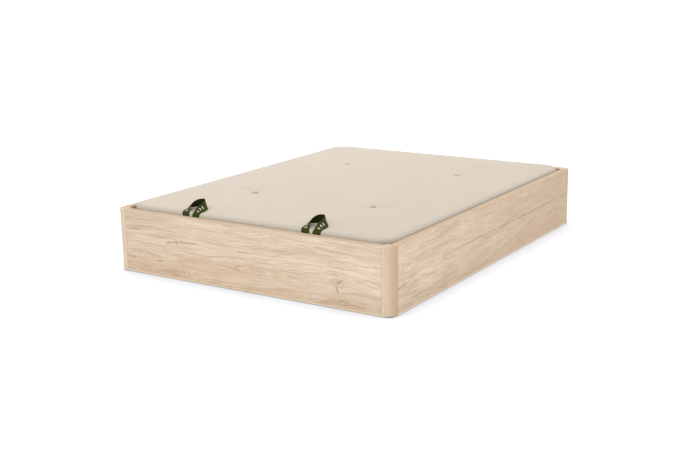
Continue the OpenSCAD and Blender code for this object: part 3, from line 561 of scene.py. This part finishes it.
def solid_wood(name, along, light, dark, ring, seed, strength, side_tone_and_shade=None):
    """Wood with its grain along one axis. The posts turn to a warmer, darker colour round their corner,
    where the distance from the middle across the bed less that along it rises through POST_TURN; that colour
    is partly the wood's own tone and partly painted shade on the faces that turn to the sides."""
    material, tree, shader, place = start_material(name)
    axes = axes_of(tree, place)
    first, second = (axes[a] for a in "XYZ" if a != along)
    grain = vector_of(tree, axes[along], plus(tree, first, times(tree, second, SECOND_AXIS)))
    inputs = {"Grain": grain, "Ring": ring, "Taper": TRUNK_TAPER, "Seed": seed}
    figure = place_group(tree, wood_figure, inputs)
    # painted shade, partly real tone: the post faces that turn to the sides get a darker, warmer colour
    if side_tone_and_shade is not None:
        turn = minus(tree, absolute(tree, axes["X"]), absolute(tree, axes["Y"]))
        turn = plus(tree, turn, centred(tree, figure["Patches"], 0.02))
        light = mix_colors(tree, remap(tree, turn, *POST_TURN, smooth=False), light, side_tone_and_shade)
    base = paint(tree, light, [
        (times(tree, figure["Rings"], strength), dark),
        (times(tree, figure["Streaks"], strength * 0.6), dark),
        (remap(tree, figure["Fibres"], 0.35, 0.75, 0.0, 0.16), dark)])
    tree.links.new(base, shader.inputs["Base Color"])
    uneven_gloss(tree, shader, place, 14.0, 0.5, 0.08)
    bump(tree, shader, figure["Fibres"], 0.0004, 0.4)
    return material

post_wood = solid_wood("post wood", "Z", POST_LIGHT, POST_DARK, 0.020, 2.2, 0.24, POST_SIDE_TONE_AND_SHADE)
batten_wood_x = solid_wood("batten wood, across", "X", BATTEN_LIGHT, BATTEN_DARK, 0.006, 6.1, 0.5)
batten_wood_y = solid_wood("batten wood, along", "Y", BATTEN_LIGHT, BATTEN_DARK, 0.006, 8.4, 0.5)
print("solid wood:", [m.name for m in (post_wood, batten_wood_x, batten_wood_y)])

# %% [markdown]
# ## Hard materials inside the box
# Hardboard, zinc-plated steel, powder-coated tube, nylon and rubber differ in three things: their
# colour, their gloss and the scale of their texture. So one function makes them all from a table.

# %% Hard materials
# Light and dark tone, metallic, gloss, spots per metre, and where it isn't the usual, relief in
# metres, spread of the gloss and clear coat.
HARD_FINISHES = {
    "hardboard": ((150, 118, 84), (128, 98, 68), 0.0, 0.62, 30.0),
    "zinc-plated steel": ((176, 180, 182), (150, 154, 158), 0.9, 0.36, 40.0),
    "bright zinc fasteners": ((205, 206, 208), (182, 184, 188), 1.0, 0.28, 90.0),
    "black powder coat": ((34, 34, 36), (26, 26, 28), 0.0, 0.5, 120.0, 0.0003),
    "dark nylon": ((52, 53, 56), (42, 43, 46), 0.0, 0.45, 80.0),
    "black rubber": ((30, 30, 30), (22, 22, 22), 0.0, 0.75, 70.0),
    "black glide plastic": ((36, 36, 36), (28, 28, 28), 0.0, 0.55, 70.0),
    "vent metal": ((168, 173, 174), (148, 154, 156), 0.65, 0.34, 60.0),
    "gas spring paint": ((22, 22, 24), (16, 16, 18), 0.0, 0.22, 30.0, 0.0001, 0.04, 0.6),
    "gas spring rod": ((228, 229, 232), (214, 216, 220), 1.0, 0.1, 30.0, 0.00005, 0.03)}
BUMP_STRENGTH = 0.35

def hard_material(name, light, dark, metallic, gloss, scale, height=0.0002, spread=0.08, coat=0.0):
    material, tree, shader, place = start_material(name)
    made = uneven_gloss(tree, shader, place, scale, gloss, spread)
    tree.links.new(mix_colors(tree, made["Tint"], color(*light), color(*dark)), shader.inputs["Base Color"])
    shader.inputs["Metallic"].default_value = metallic
    shader.inputs["Coat Weight"].default_value = coat
    bump(tree, shader, made["Height"], height, BUMP_STRENGTH)
    return material

hard = {name: hard_material(name, *finish) for name, finish in HARD_FINISHES.items()}
print("hard materials:", len(hard))

# %% [markdown]
# ## Dressing the frame
# Each carried-over piece gets its material by its name. A small bevel modifier rounds the sharp
# edges of wood and steel, because no real edge is perfectly sharp and a rounded one catches light.

# %% Materials and bevels on the frame
def round_edges(piece, width, angle):
    """Rounds every edge that is sharper than the angle, given in degrees."""
    made = piece.modifiers.new("rounded edges", "BEVEL")
    made.width = width
    made.segments = 2
    made.limit_method = "ANGLE"
    made.angle_limit = math.radians(angle)

def dress(material, bevel, *names):
    for name in names:
        piece = nodes[name]
        piece.data.materials.clear()
        piece.data.materials.append(material)
        if bevel:
            round_edges(piece, bevel, 40)

def both(*stems):
    """The left and the right piece of each name."""
    return [stem + side for stem in stems for side in ("_left", "_right")]

dress(foot_oak, 0.0008, "foot_panel", "head_panel")
dress(side_oak, 0.0008, "left_side_panel", "right_side_panel")
dress(post_wood, 0.0012, *both("corner_post_foot", "corner_post_head"))
dress(batten_wood_x, 0.0015, "ledger_foot", "ledger_head", "rest_cleat_foot", "corner_dowels")
dress(batten_wood_y, 0.0015, "center_rail", "center_rail_feet", *both("ledger", "rest_cleat"))
dress(hard["hardboard"], 0.0008, "floor_boards", "lid_board")
dress(hard["zinc-plated steel"], 0.0004, "corner_brackets", "gas_upper_brackets", "strap_clamp_plates",
    *both("hinge_bracket", "hinge_arm"))
dress(hard["bright zinc fasteners"], 0.0, "corner_bracket_screws", "corner_hanger_bolts", "ledger_screws",
    "cleat_screws", "hinge_bracket_screws", "hinge_pins", "hinge_arm_rivets", "strap_rivets",
    "gas_lower_studs")
dress(hard["black powder coat"], 0.0015, "lid_tube_foot", "lid_tube_head", "lid_corner_bends",
    "lid_cross_tubes", *both("lid_tube"))
dress(hard["dark nylon"], 0.0003, "hinge_washers", "hinge_bushes", *both("gas_lower_end", "gas_upper_end"))
dress(hard["black rubber"], 0.0006, "lid_bumpers")
dress(hard["black glide plastic"], 0.0006, "floor_glides")
dress(hard["vent metal"], 0.0003, "air_vents")
dress(hard["gas spring paint"], 0.0005, *both("gas_cylinder"))
dress(hard["gas spring rod"], 0.0, *both("gas_rod"))
print("dressed:", sum(1 for o in nodes.values() if o.data.materials and o.data.materials[0]), "pieces")

# %% [markdown]
# ## The lid cover's material
# The cover is a cream knitted spacer fabric: rows of tiny cells a little over two millimetres apart.
# A Voronoi texture with little randomness gives such cells, and a fine noise breaks up the yarn.
# The map adds the height to both directions, so that the cells also run on down the lid's sides.
# The cover darkens a little towards its edge, to a cooler grey on the skirt, and from one side to the other:
# all of this is painted shade. The mesh brings an attribute for that, `inside`, which says how far each
# point lies inside the lid's outline.

# %% Lid fabric
CREAM = color(232, 218, 201)
CREAM_SHADE = color(206, 191, 173)
# EDGE_SHADE and the next tone are painted shade of the lid's rounded edge and its skirt
EDGE_SHADE = color(209, 199, 184)
BORDER_SHADE = color(209, 203, 192)
CELLS_PER_METRE = 420.0
YARN_PER_METRE = 1500.0
EDGE_FADE = (0.042, 0.002)
BORDER_FADE = (0.0030, 0.0003)

def lid_fabric():
    material, tree, shader, place = start_material("cream spacer fabric")
    axes = axes_of(tree, place)
    flat = vector_of(tree, plus(tree, axes["X"], axes["Z"]), plus(tree, axes["Y"], axes["Z"]))
    cells = add(tree, "ShaderNodeTexVoronoi", {"Vector": flat, "Scale": CELLS_PER_METRE, "Randomness": 0.25},
        voronoi_dimensions="2D", feature="F1")
    hole = remap(tree, cells.outputs["Distance"], 0.34, 0.10)
    yarn = noise(tree, flat, YARN_PER_METRE, 3.0)
    broad = noise(tree, place, 5.0, 5.0)
    # painted shade: the cover grows darker from one side of the lid to the other
    painted_shade_slant = minus(tree, axes["X"], times(tree, axes["Y"], 0.25))
    inside = add(tree, "ShaderNodeAttribute", attribute_name="inside").outputs["Fac"]
    # the last three layers are painted shade: across the lid, towards its edge and on the skirt
    base = paint(tree, CREAM, [
        (times(tree, hole, 0.35), CREAM_SHADE),
        (remap(tree, yarn, 0.3, 0.7, 0.0, 0.22), CREAM_SHADE),
        (remap(tree, broad, 0.35, 0.7, 0.0, 0.16), CREAM_SHADE),
        (remap(tree, painted_shade_slant, -0.75, 0.75, 0.0, 0.42, smooth=False), CREAM_SHADE),
        (remap(tree, inside, *EDGE_FADE), EDGE_SHADE),
        (remap(tree, inside, *BORDER_FADE), BORDER_SHADE)])
    tree.links.new(base, shader.inputs["Base Color"])
    shader.inputs["Roughness"].default_value = 0.92
    shader.inputs["Sheen Weight"].default_value = 0.18
    shader.inputs["Sheen Roughness"].default_value = 0.5
    bump(tree, shader, minus(tree, times(tree, yarn, 0.3), hole), 0.0005, 0.6)
    return material

cover_fabric = lid_fabric()
print("lid fabric:", len(cover_fabric.node_tree.nodes), "nodes")

# %% [markdown]
# ## The padded lid
# The lid is a foam pad under a fabric cover that is drawn down at four vents and round the edge.
# A grid of quads is the best start for cloth. The grid's four corner squares are mapped onto quarter
# discs, so that the sheet gets round corners and keeps its quads. Loops then go round it: over the
# soft edge, down the skirt, under it and back up to the board. The cover stands a little proud of
# the plain solid, and is pressed back to it where the pull loops lie on its foot face.

# %% Lid measures
pad_low, pad_high = (Vector(c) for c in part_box("lid_pad"))
board_low, board_high = (Vector(c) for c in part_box("lid_board"))
COVER_THICK = 0.0015
LID_X = pad_high.x + COVER_THICK
LID_Y = pad_high.y + COVER_THICK
LID_CORNER = 0.082
PAD_EDGE = 0.015
PAD_CROWN = 0.0020
LID_TOP = board_high.z + PAD_EDGE
SKIRT_LOW = pad_low.z
SKIRT = 0.0047
EDGE_DROP = 0.0012
EDGE_SLOPE_WIDTH = 0.060
print("lid", round(2 * LID_X, 3), "x", round(2 * LID_Y, 3), "m, top at", round(LID_TOP, 4))

# %% [markdown]
# Two functions know the lid's outline: one moves a grid point into it, and the other tells how far
# inside it a point lies. A third gives the direction straight out of it, for the loops.

# %% Rounded outline
def rounded(x, y, half_x, half_y, radius):
    """Moves a point of a sharp rectangle into the same rectangle with round corners."""
    over_x = max(abs(x) - (half_x - radius), 0) / radius
    over_y = max(abs(y) - (half_y - radius), 0) / radius
    if over_x == 0 or over_y == 0:
        return x, y
    new_x = (half_x - radius) + radius * over_x * math.sqrt(1 - over_y ** 2 / 2)
    new_y = (half_y - radius) + radius * over_y * math.sqrt(1 - over_x ** 2 / 2)
    return math.copysign(new_x, x), math.copysign(new_y, y)

def from_outline(x, y):
    """How far a point lies inside the lid's rounded outline, seen from above."""
    over_x = abs(x) - (LID_X - LID_CORNER)
    over_y = abs(y) - (LID_Y - LID_CORNER)
    if over_x > 0 and over_y > 0:
        return LID_CORNER - math.hypot(over_x, over_y)
    return min(LID_X - abs(x), LID_Y - abs(y))

def outward(x, y):
    """The direction straight out of the outline at a point near it."""
    corner_x = math.copysign(min(abs(x), LID_X - LID_CORNER), x)
    corner_y = math.copysign(min(abs(y), LID_Y - LID_CORNER), y)
    return Vector((x - corner_x, y - corner_y, 0)).normalized()

print("the middle of the lid lies", round(from_outline(0, 0), 3), "m inside its outline")

# %% [markdown]
# A vent's flange holds the cover down, so the padding rises round it in a dimple with short creases
# on both sides. The height of the cover is the board plus the foam, less the deepest of these.

# %% Dimples and creases
VENT_X = 0.337
VENT_Y = 0.415
VENT_FLANGE = 0.0160
DIMPLE_FLAT = 0.002
TUFT_DEPTH = 0.0040
TUFT_REACH = 0.075
CREASE_DEPTH = 0.0011
CREASE_REACH = 0.070
CREASE_WIDTH = 0.009
CREASE_WAVE = 0.004

def held(value):
    """A value held between 0 and 1."""
    return min(max(value, 0), 1)

def tuft_pull(x, y):
    """How far the nearest vent draws the padding down, from 0 to 1."""
    away = min(math.hypot(abs(x) - VENT_X, abs(y) - VENT_Y), TUFT_REACH)
    if away <= VENT_FLANGE + DIMPLE_FLAT:
        return 1.0
    part = (away - VENT_FLANGE - DIMPLE_FLAT) / (TUFT_REACH - VENT_FLANGE - DIMPLE_FLAT)
    return (1 - part) ** 2 * (1 + 2 * part) * (1 - 0.25 * math.sin(math.pi * part))

def crease(x, y):
    """The fabric folds into a shallow crease on both sides of each vent, from 0 to 1."""
    beside = abs(abs(x) - VENT_X)
    if beside >= CREASE_REACH:
        return 0.0
    lift = CREASE_WAVE * math.sin(beside * 60)
    return (1 - beside / CREASE_REACH) ** 1.5 * math.exp(-((abs(y) - VENT_Y - lift) / CREASE_WIDTH) ** 2)

def edge_slope(x, y):
    """The padding thins out towards the lid's edge, from 0 to 1."""
    return (1 - held((from_outline(x, y) - PAD_EDGE) / EDGE_SLOPE_WIDTH)) ** 2

def cover_height(x, y):
    dome = PAD_CROWN * (1 - (x / LID_X) ** 2) * (1 - (y / LID_Y) ** 2)
    drop = EDGE_DROP * edge_slope(x, y) + CREASE_DEPTH * crease(x, y)
    return LID_TOP + dome - max(tuft_pull(x, y) * (TUFT_DEPTH + dome), drop)

print("cover height at the middle:", round(cover_height(0, 0), 4))
print("cover height at a vent:", round(cover_height(VENT_X, VENT_Y), 4))

# %% [markdown]
# The grid is finer near the vents, where the cover bends most. The profile of the edge is a quarter
# of a round, then the straight skirt, a small hem and the way back up inside.

# %% Pad mesh
STEP = 0.014
FINE_STEP = 0.006
STRAP_X = 0.330
PRESS_WIDTH = 0.090
PRESS_BACK = 0.080
PRESS_FADE = (0.028, 0.060)

def grid_lines(half, vent):
    """Places for the grid's lines from one side to the other: close together near the vents."""
    places = [0.0]
    while places[-1] < half - STEP * 0.7:
        near = abs(places[-1] + STEP / 2 - vent) < CREASE_REACH
        places.append(places[-1] + (FINE_STEP if near else STEP))
    places[-1] = half
    return [-p for p in places[:0:-1]] + places

def edge_profile():
    """The edge, the skirt and its inside, as steps of (distance inside the outline, height)."""
    steps = []
    for angle in (math.radians(v) for v in (15, 32, 50, 70, 90)):
        drop = (PAD_EDGE - EDGE_DROP) * (1 - math.cos(angle))
        steps.append((PAD_EDGE * (1 - math.sin(angle)), LID_TOP - EDGE_DROP - drop))
    return steps + [(0.0, LID_TOP - PAD_EDGE - 0.010), (0.0, SKIRT_LOW + 0.012), (0.0008, SKIRT_LOW + 0.003),
        (0.0022, SKIRT_LOW), (SKIRT, SKIRT_LOW + 0.0005), (SKIRT, board_high.z)]

def under_webbing(x, y):
    """Each pull loop presses the cover back where it comes up the lid's foot face, from 0 to 1."""
    beside = abs(abs(x) - STRAP_X)
    back = y + LID_Y
    return held((PRESS_WIDTH - beside) / PRESS_FADE[0]) * held((PRESS_BACK - back) / PRESS_FADE[1])

def pad_top(mesh):
    """The quad grid of the top. It hands back the points in rows."""
    inner_x, inner_y = LID_X - PAD_EDGE, LID_Y - PAD_EDGE
    rows = []
    for line_y in grid_lines(inner_y, VENT_Y):
        row = []
        for line_x in grid_lines(inner_x, VENT_X):
            x, y = rounded(line_x, line_y, inner_x, inner_y, LID_CORNER - PAD_EDGE)
            row.append(mesh.verts.new((x, y, cover_height(x, y))))
        rows.append(row)
    for low, high in zip(rows, rows[1:]):
        for i in range(len(low) - 1):
            mesh.faces.new((low[i], low[i + 1], high[i + 1], high[i]))
    return rows

def pad_mesh():
    """A closed pad: the grid on top, then loops for the edge, the skirt and the underside."""
    mesh = bmesh.new()
    rows = pad_top(mesh)
    rim = rows[0][:-1] + [r[-1] for r in rows[:-1]] + rows[-1][:0:-1] + [r[0] for r in rows[:0:-1]]
    last = rim
    for inset, height in edge_profile():
        loop = []
        step = PAD_EDGE - inset
        for v in rim:
            out = outward(v.co.x, v.co.y)
            loop.append(mesh.verts.new((v.co.x + out.x * step, v.co.y + out.y * step, height)))
        for k in range(len(loop)):
            n = (k + 1) % len(loop)
            mesh.faces.new((last[k], loop[k], loop[n], last[n]))
        last = loop
    mesh.faces.new(last[::-1])
    bmesh.ops.recalc_face_normals(mesh, faces=mesh.faces)
    layer = mesh.verts.layers.float.new("inside")
    for v in mesh.verts:
        v[layer] = from_outline(v.co.x, v.co.y)
        v.co.y += COVER_THICK * under_webbing(v.co.x, v.co.y)
    return mesh_object(mesh, "lid_cover"), len(rows) * len(rows[0])

lid_cover, top_count = pad_mesh()
print("pad mesh:", len(lid_cover.data.vertices), "points,", top_count, "of them on top")

# %% [markdown]
# Fabric that is pulled down at a few points puckers around them. We let Blender's cloth find those
# puckers: the cover is a little larger than the pad, a slight pressure stands in for the foam, and
# the edge and the four vents are pinned. A cap keeps every point close to the designed shape, and
# the movement dies out towards the edge, so that the outline stays as it is.

# %% Cloth puckers
CLOTH = {"quality": 6, "mass": 0.25, "tension_stiffness": 30, "compression_stiffness": 30,
    "shear_stiffness": 15, "bending_stiffness": 0.6, "vertex_group_mass": "pinned", "shrink_min": -0.012,
    "use_pressure": True, "uniform_pressure_force": 0.6}
CLOTH_FRAMES = 18
MOST_MOVE = 0.0045
STILL_EDGE = 0.025
CALM_WIDTH = 0.075
PIN_EDGE = 0.010
PIN_VENT = 0.004

def from_edge(point):
    return min(LID_X - abs(point.x), LID_Y - abs(point.y))

def is_pinned(index, point):
    near = math.hypot(abs(point.x) - VENT_X, abs(point.y) - VENT_Y)
    return index >= top_count or from_edge(point) < PAD_EDGE + PIN_EDGE or near < VENT_FLANGE + PIN_VENT

def cloth_moves(piece, start):
    """How far a short cloth simulation moves each point of the piece."""
    pins = piece.vertex_groups.new(name="pinned")
    pins.add([i for i, point in enumerate(start) if is_pinned(i, point)], 1.0, "REPLACE")
    cloth = piece.modifiers.new("cloth", "CLOTH")
    for name, value in CLOTH.items():
        setattr(cloth.settings, name, value)
    cloth.settings.effector_weights.gravity = 0
    cloth.point_cache.frame_start = 1
    cloth.point_cache.frame_end = CLOTH_FRAMES
    for f in range(1, CLOTH_FRAMES + 1):
        bpy.context.scene.frame_set(f)
    settled = piece.evaluated_get(bpy.context.evaluated_depsgraph_get())
    moves = [v.co - start[i] for i, v in enumerate(settled.to_mesh().vertices)]
    settled.to_mesh_clear()
    piece.modifiers.remove(cloth)
    piece.vertex_groups.remove(pins)
    bpy.context.scene.frame_set(1)
    return moves

def settle_cover(piece):
    """Keeps the settled shape, and hands back the largest move."""
    start = [v.co.copy() for v in piece.data.vertices]
    moves = cloth_moves(piece, start)
    for vertex, point, move in zip(piece.data.vertices, start, moves):
        capped = move * (MOST_MOVE / move.length) if move.length > MOST_MOVE else move
        vertex.co = point + capped * held((from_edge(point) - STILL_EDGE) / CALM_WIDTH)
    return max(move.length for move in moves)

print("cloth moved the cover by up to", round(settle_cover(lid_cover) * 1000, 1), "mm")

# %% [markdown]
# The cover replaces the plain solid of the pad and turns with the lid. All faces are smooth but the flat one
# against the board.

# %% Finish the padded lid
for face in lid_cover.data.polygons:
    face.use_smooth = True
lid_cover.data.polygons[-1].use_smooth = False
lid_cover.data.materials.append(cover_fabric)
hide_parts("lid_pad")
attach(lid_cover, "lid")
print("lid cover:", len(lid_cover.data.polygons), "faces")

# %% [markdown]
# ## Webbing of the pull loops
# Each loop is one strip of 40 mm woven webbing that comes up out of the gap, bends back over the lid's edge
# and stands on its edge at the far end. Its weave is ribs across the strip and fine warp threads along it,
# with groups of three plain pale bars on the outer side. The inner side is darkened as painted shade inside
# the loop. The strip's mesh brings three attributes: `along` and `across` in metres, and `outer`, which is 1
# on the outer side.

# %% Webbing material
GREEN = color(84, 94, 34)
# the dark of the weave's grooves, and painted shade on the strip's inner side
GREEN_DARK_AND_SHADE = color(32, 40, 8)
THREAD = color(222, 222, 206)
RIBS_PER_METRE = 720.0
WARPS_PER_METRE = 1250
MARK_PITCH = 0.093
MARK_START = 0.078
BAR_PITCH = 0.0155
BAR_LENGTH = 0.0050
BAR_WIDTH = 0.0130
SOFT_EDGE = 0.0004

def ridges(tree, place, per_metre):
    """Rounded ridges, from 0 in a groove to 1 on a ridge."""
    return absolute(tree, math_node(tree, "SINE", times(tree, place, per_metre * math.pi)))

def repeat(tree, value, start, pitch):
    """The distance to the nearest of a row of places that repeat every `pitch`."""
    turns = over(tree, minus(tree, value, start), pitch)
    return times(tree, minus(tree, turns, math_node(tree, "ROUND", turns)), pitch)

def webbing_material():
    material, tree, shader, place = start_material("green webbing")
    along, across, outer = (add(tree, "ShaderNodeAttribute", attribute_name=n).outputs["Fac"]
        for n in ("along", "across", "outer"))
    warp = ridges(tree, across, WARPS_PER_METRE)
    weave = times(tree, ridges(tree, along, RIBS_PER_METRE), plus(tree, times(tree, warp, 0.5), 0.5))
    uneven = remap(tree, noise(tree, place, 420.0, 4.0), 0.2, 0.8, 0.6, 1.0)
    from_group = repeat(tree, along, MARK_START, MARK_PITCH)
    from_bar = absolute(tree, repeat(tree, from_group, 0.0, BAR_PITCH))
    long_way = remap(tree, from_bar, BAR_LENGTH / 2 + SOFT_EDGE, BAR_LENGTH / 2)
    wide_way = remap(tree, absolute(tree, across), BAR_WIDTH / 2 + SOFT_EDGE, BAR_WIDTH / 2)
    three = math_node(tree, "LESS_THAN", absolute(tree, from_group), 1.5 * BAR_PITCH)
    bars = times(tree, long_way, wide_way, times(tree, three, outer))
    # the last layer is painted shade: the inner side of the strip is darkened
    base = paint(tree, GREEN_DARK_AND_SHADE, [
        (times(tree, weave, uneven), GREEN),
        (bars, THREAD),
        (remap(tree, outer, 1.0, 0.0, 0.0, 0.7), GREEN_DARK_AND_SHADE)])
    tree.links.new(base, shader.inputs["Base Color"])
    shader.inputs["Roughness"].default_value = 0.85
    shader.inputs["Specular IOR Level"].default_value = 0.2
    bump(tree, shader, plus(tree, weave, times(tree, bars, 0.8)), 0.0005, 0.7)
    return material

webbing = webbing_material()
print("webbing:", len(webbing.node_tree.nodes), "nodes")

# %% [markdown]
# Flat webbing doesn't need a simulation. The strip is built between two smooth edge curves, one for
# each edge of the webbing, so it can twist as the real one does. We give half of each curve in
# millimetres: (across, back from the lid's foot face, above the rim). The same points shape the
# plain solid of the loop in the frame.

# %% Webbing curves
LOW_EDGE = [(48, -1.2, -34), (48, -1.2, -17), (48, -1.2, 0), (51, 3.4, 15.5), (52, 24, 20.5), (53, 42, 22),
    (46, 64, 23), (28, 86, 23.5), (0, 98, 23)]
HIGH_EDGE = [(8, -1.2, -34), (8, -1.2, -17), (8, -1.2, 0), (11, 3.4, 14.8), (20, 29, 43), (25, 46, 50.5),
    (24, 62, 56.5), (17, 83.5, 62), (0, 98, 63)]
CURVE_STEPS = 10

def spline(points, steps):
    """A smooth curve through the points."""
    line = []
    last = len(points) - 1
    for i in range(last):
        a, b, c, d = (Vector(points[min(max(k, 0), last)]) for k in (i - 1, i, i + 1, i + 2))
        for s in range(steps):
            u = s / steps
            rise = 2 * b + (c - a) * u + (2 * a - 5 * b + 4 * c - d) * u * u
            line.append(0.5 * (rise + (3 * b - a - 3 * c + d) * u ** 3))
    return line + [Vector(points[-1])]

def whole_loop(points):
    """Half of a loop and its mirror image."""
    half = spline(points, CURVE_STEPS)
    return half + [Vector((-p.x, p.y, p.z)) for p in half[-2::-1]]

low_edge = whole_loop(LOW_EDGE)
high_edge = whole_loop(HIGH_EDGE)
print("webbing curves:", len(low_edge), "points each")

# %% [markdown]
# At each step along the loop a closed ring of points goes once round the webbing's section: up its
# inner side and down its outer one. The section is cupped a little, and most in the loop's middle.

# %% Webbing strips
RIM_HEIGHT = 0.300
WEB_WIDTH = 0.040
WEB_THICK = 0.0018
CUP_MM = 1.1
ACROSS_STEPS = 8

def strap_rings(mesh, origin):
    """The rings of points along one loop, and the loop's length."""
    layers = {n: mesh.verts.layers.float.new(n) for n in ("along", "across", "outer")}
    middle = [(a + b) / 2 for a, b in zip(low_edge, high_edge)]
    last = len(middle) - 1
    length = 0.0
    rings = []
    for i, centre in enumerate(middle):
        if i:
            length += (centre - middle[i - 1]).length / 1000
        ahead = (middle[min(i + 1, last)] - middle[max(i - 1, 0)]).normalized()
        face = (high_edge[i] - low_edge[i]).cross(ahead).normalized()
        far_in = math.sin(math.pi * min(i, last - i) / last)
        ring = []
        for facing in (1, -1):
            for k in range(ACROSS_STEPS + 1):
                part = k / ACROSS_STEPS if facing == 1 else 1 - k / ACROSS_STEPS
                cup = math.cos(math.pi * (part - 0.5)) * CUP_MM
                point = low_edge[i].lerp(high_edge[i], part)
                point += face * (facing * WEB_THICK * 500 + cup * far_in)
                v = mesh.verts.new(origin + point / 1000)
                v[layers["along"]] = length
                v[layers["across"]] = (part - 0.5) * WEB_WIDTH
                v[layers["outer"]] = 0.0 if facing == 1 else 1.0
                ring.append(v)
        rings.append(ring)
    return rings, length

def make_strap(name, side):
    mesh = bmesh.new()
    rings, length = strap_rings(mesh, Vector((side * STRAP_X, -pad_high.y, RIM_HEIGHT)))
    for a, b in zip(rings, rings[1:]):
        for k in range(len(a)):
            n = (k + 1) % len(a)
            mesh.faces.new((a[k], a[n], b[n], b[k]))
    mesh.faces.new(rings[0][::-1])
    mesh.faces.new(rings[-1])
    bmesh.ops.recalc_face_normals(mesh, faces=mesh.faces)
    strap = mesh_object(mesh, name)
    strap.data.materials.append(webbing)
    for face in strap.data.polygons:
        face.use_smooth = True
    round_edges(strap, 0.0005, 50)
    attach(strap, "lid")
    print(name, "is", round(length, 3), "m of webbing")
    return strap

left_strap = make_strap("webbing_loop_left", -1)
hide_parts("pull_strap_left")
right_strap = make_strap("webbing_loop_right", 1)
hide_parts("pull_strap_right")

# %% [markdown]
# ## The studio
# The picture has a pure white ground with only a short soft shadow where the box stands. The floor
# is a pale grey. Where the camera, glass or metal see it, it also glows, which turns the open floor
# pure white. The short shadow is drawn in again there: the occlusion node tells how much of the sky
# is hidden by something near. The glow is a little blue, because the oak warms its own shadow.

# %% Floor
FLOOR_RADIUS = 60
FLOOR_GREY = (0.9, 0.9, 0.9, 1)
FLOOR_GLOW = 0.28
GLOW_TONE = (0.84, 1.0, 1.20, 1)
CONTACT_REACH = 0.17
CONTACT_DEPTH = 0.18
CONTACT_FALL = 1.8

def seen_directly(tree):
    """1 for the camera, for glossy rays and for rays through glass, and 0 for all other light."""
    path = tree.nodes.new("ShaderNodeLightPath").outputs
    other_rays = greatest(tree, path["Is Glossy Ray"], path["Is Transmission Ray"])
    return greatest(tree, path["Is Camera Ray"], other_rays)

def floor_material():
    material = bpy.data.materials.new("white floor")
    tree, surface = empty_tree(material)
    seen = seen_directly(tree)
    around = add(tree, "ShaderNodeAmbientOcclusion", {"Distance": CONTACT_REACH}, samples=16)
    hidden = math_node(tree, "MULTIPLY", minus(tree, 1.0, around.outputs["AO"]), 2.0, clamp=True)
    contact = times(tree, math_node(tree, "POWER", hidden, CONTACT_FALL), times(tree, seen, CONTACT_DEPTH))
    lit = minus(tree, 1.0, contact)
    pale = mix_colors(tree, lit, (0, 0, 0, 1), FLOOR_GREY)
    diffuse = add(tree, "ShaderNodeBsdfDiffuse", {"Color": pale})
    strength = times(tree, seen, lit, FLOOR_GLOW)
    glow = add(tree, "ShaderNodeEmission", {"Color": GLOW_TONE, "Strength": strength})
    grey_and_glow = add(tree, "ShaderNodeAddShader", {0: diffuse.outputs[0], 1: glow.outputs[0]})
    tree.links.new(grey_and_glow.outputs[0], surface)
    return material

def make_floor():
    mesh = bmesh.new()
    bmesh.ops.create_circle(mesh, cap_ends=True, segments=96, radius=FLOOR_RADIUS)
    floor = mesh_object(mesh, "studio_floor")
    floor.data.materials.append(floor_material())

make_floor()
print("floor:", 2 * FLOOR_RADIUS, "m across")

# %% [markdown]
# The world is white for the camera, glass and metal, and gives an even light to everything else.
# Two very wide suns do the rest: one from the front makes the end panel a little brighter than the
# side, and one from behind lays the soft shadow in front of the box.

# %% World and suns
AMBIENT = 0.82

def make_world():
    world = bpy.data.worlds.new("studio")
    bpy.context.scene.world = world
    tree, surface = empty_tree(world, "ShaderNodeOutputWorld")
    strength = remap(tree, seen_directly(tree), 0.0, 1.0, AMBIENT, 1.0, smooth=False)
    back = add(tree, "ShaderNodeBackground", {"Color": (1, 1, 1, 1), "Strength": strength})
    tree.links.new(back.outputs[0], surface)

def make_sun(name, toward, strength, width):
    """A sun whose light comes from the point `toward`, with a wide disc for soft shadows."""
    data = bpy.data.lights.new(name, "SUN")
    data.energy = strength
    data.angle = math.radians(width)
    place_object(name, data).matrix_world = Vector(toward).to_track_quat("Z", "Y").to_matrix().to_4x4()

make_world()
make_sun("front light", (0.10, -0.60, 1.0), 0.48, 60)
make_sun("shadow light", (0.05, 0.75, 1.0), 0.30, 60)
print("lamps:", [light.name for light in bpy.data.lights])

# %% [markdown]
# ## View settings
# The colours are shown as they are, without a film curve.

# %% View settings
bpy.context.scene.view_settings.view_transform = "Standard"
bpy.context.view_layer.update()
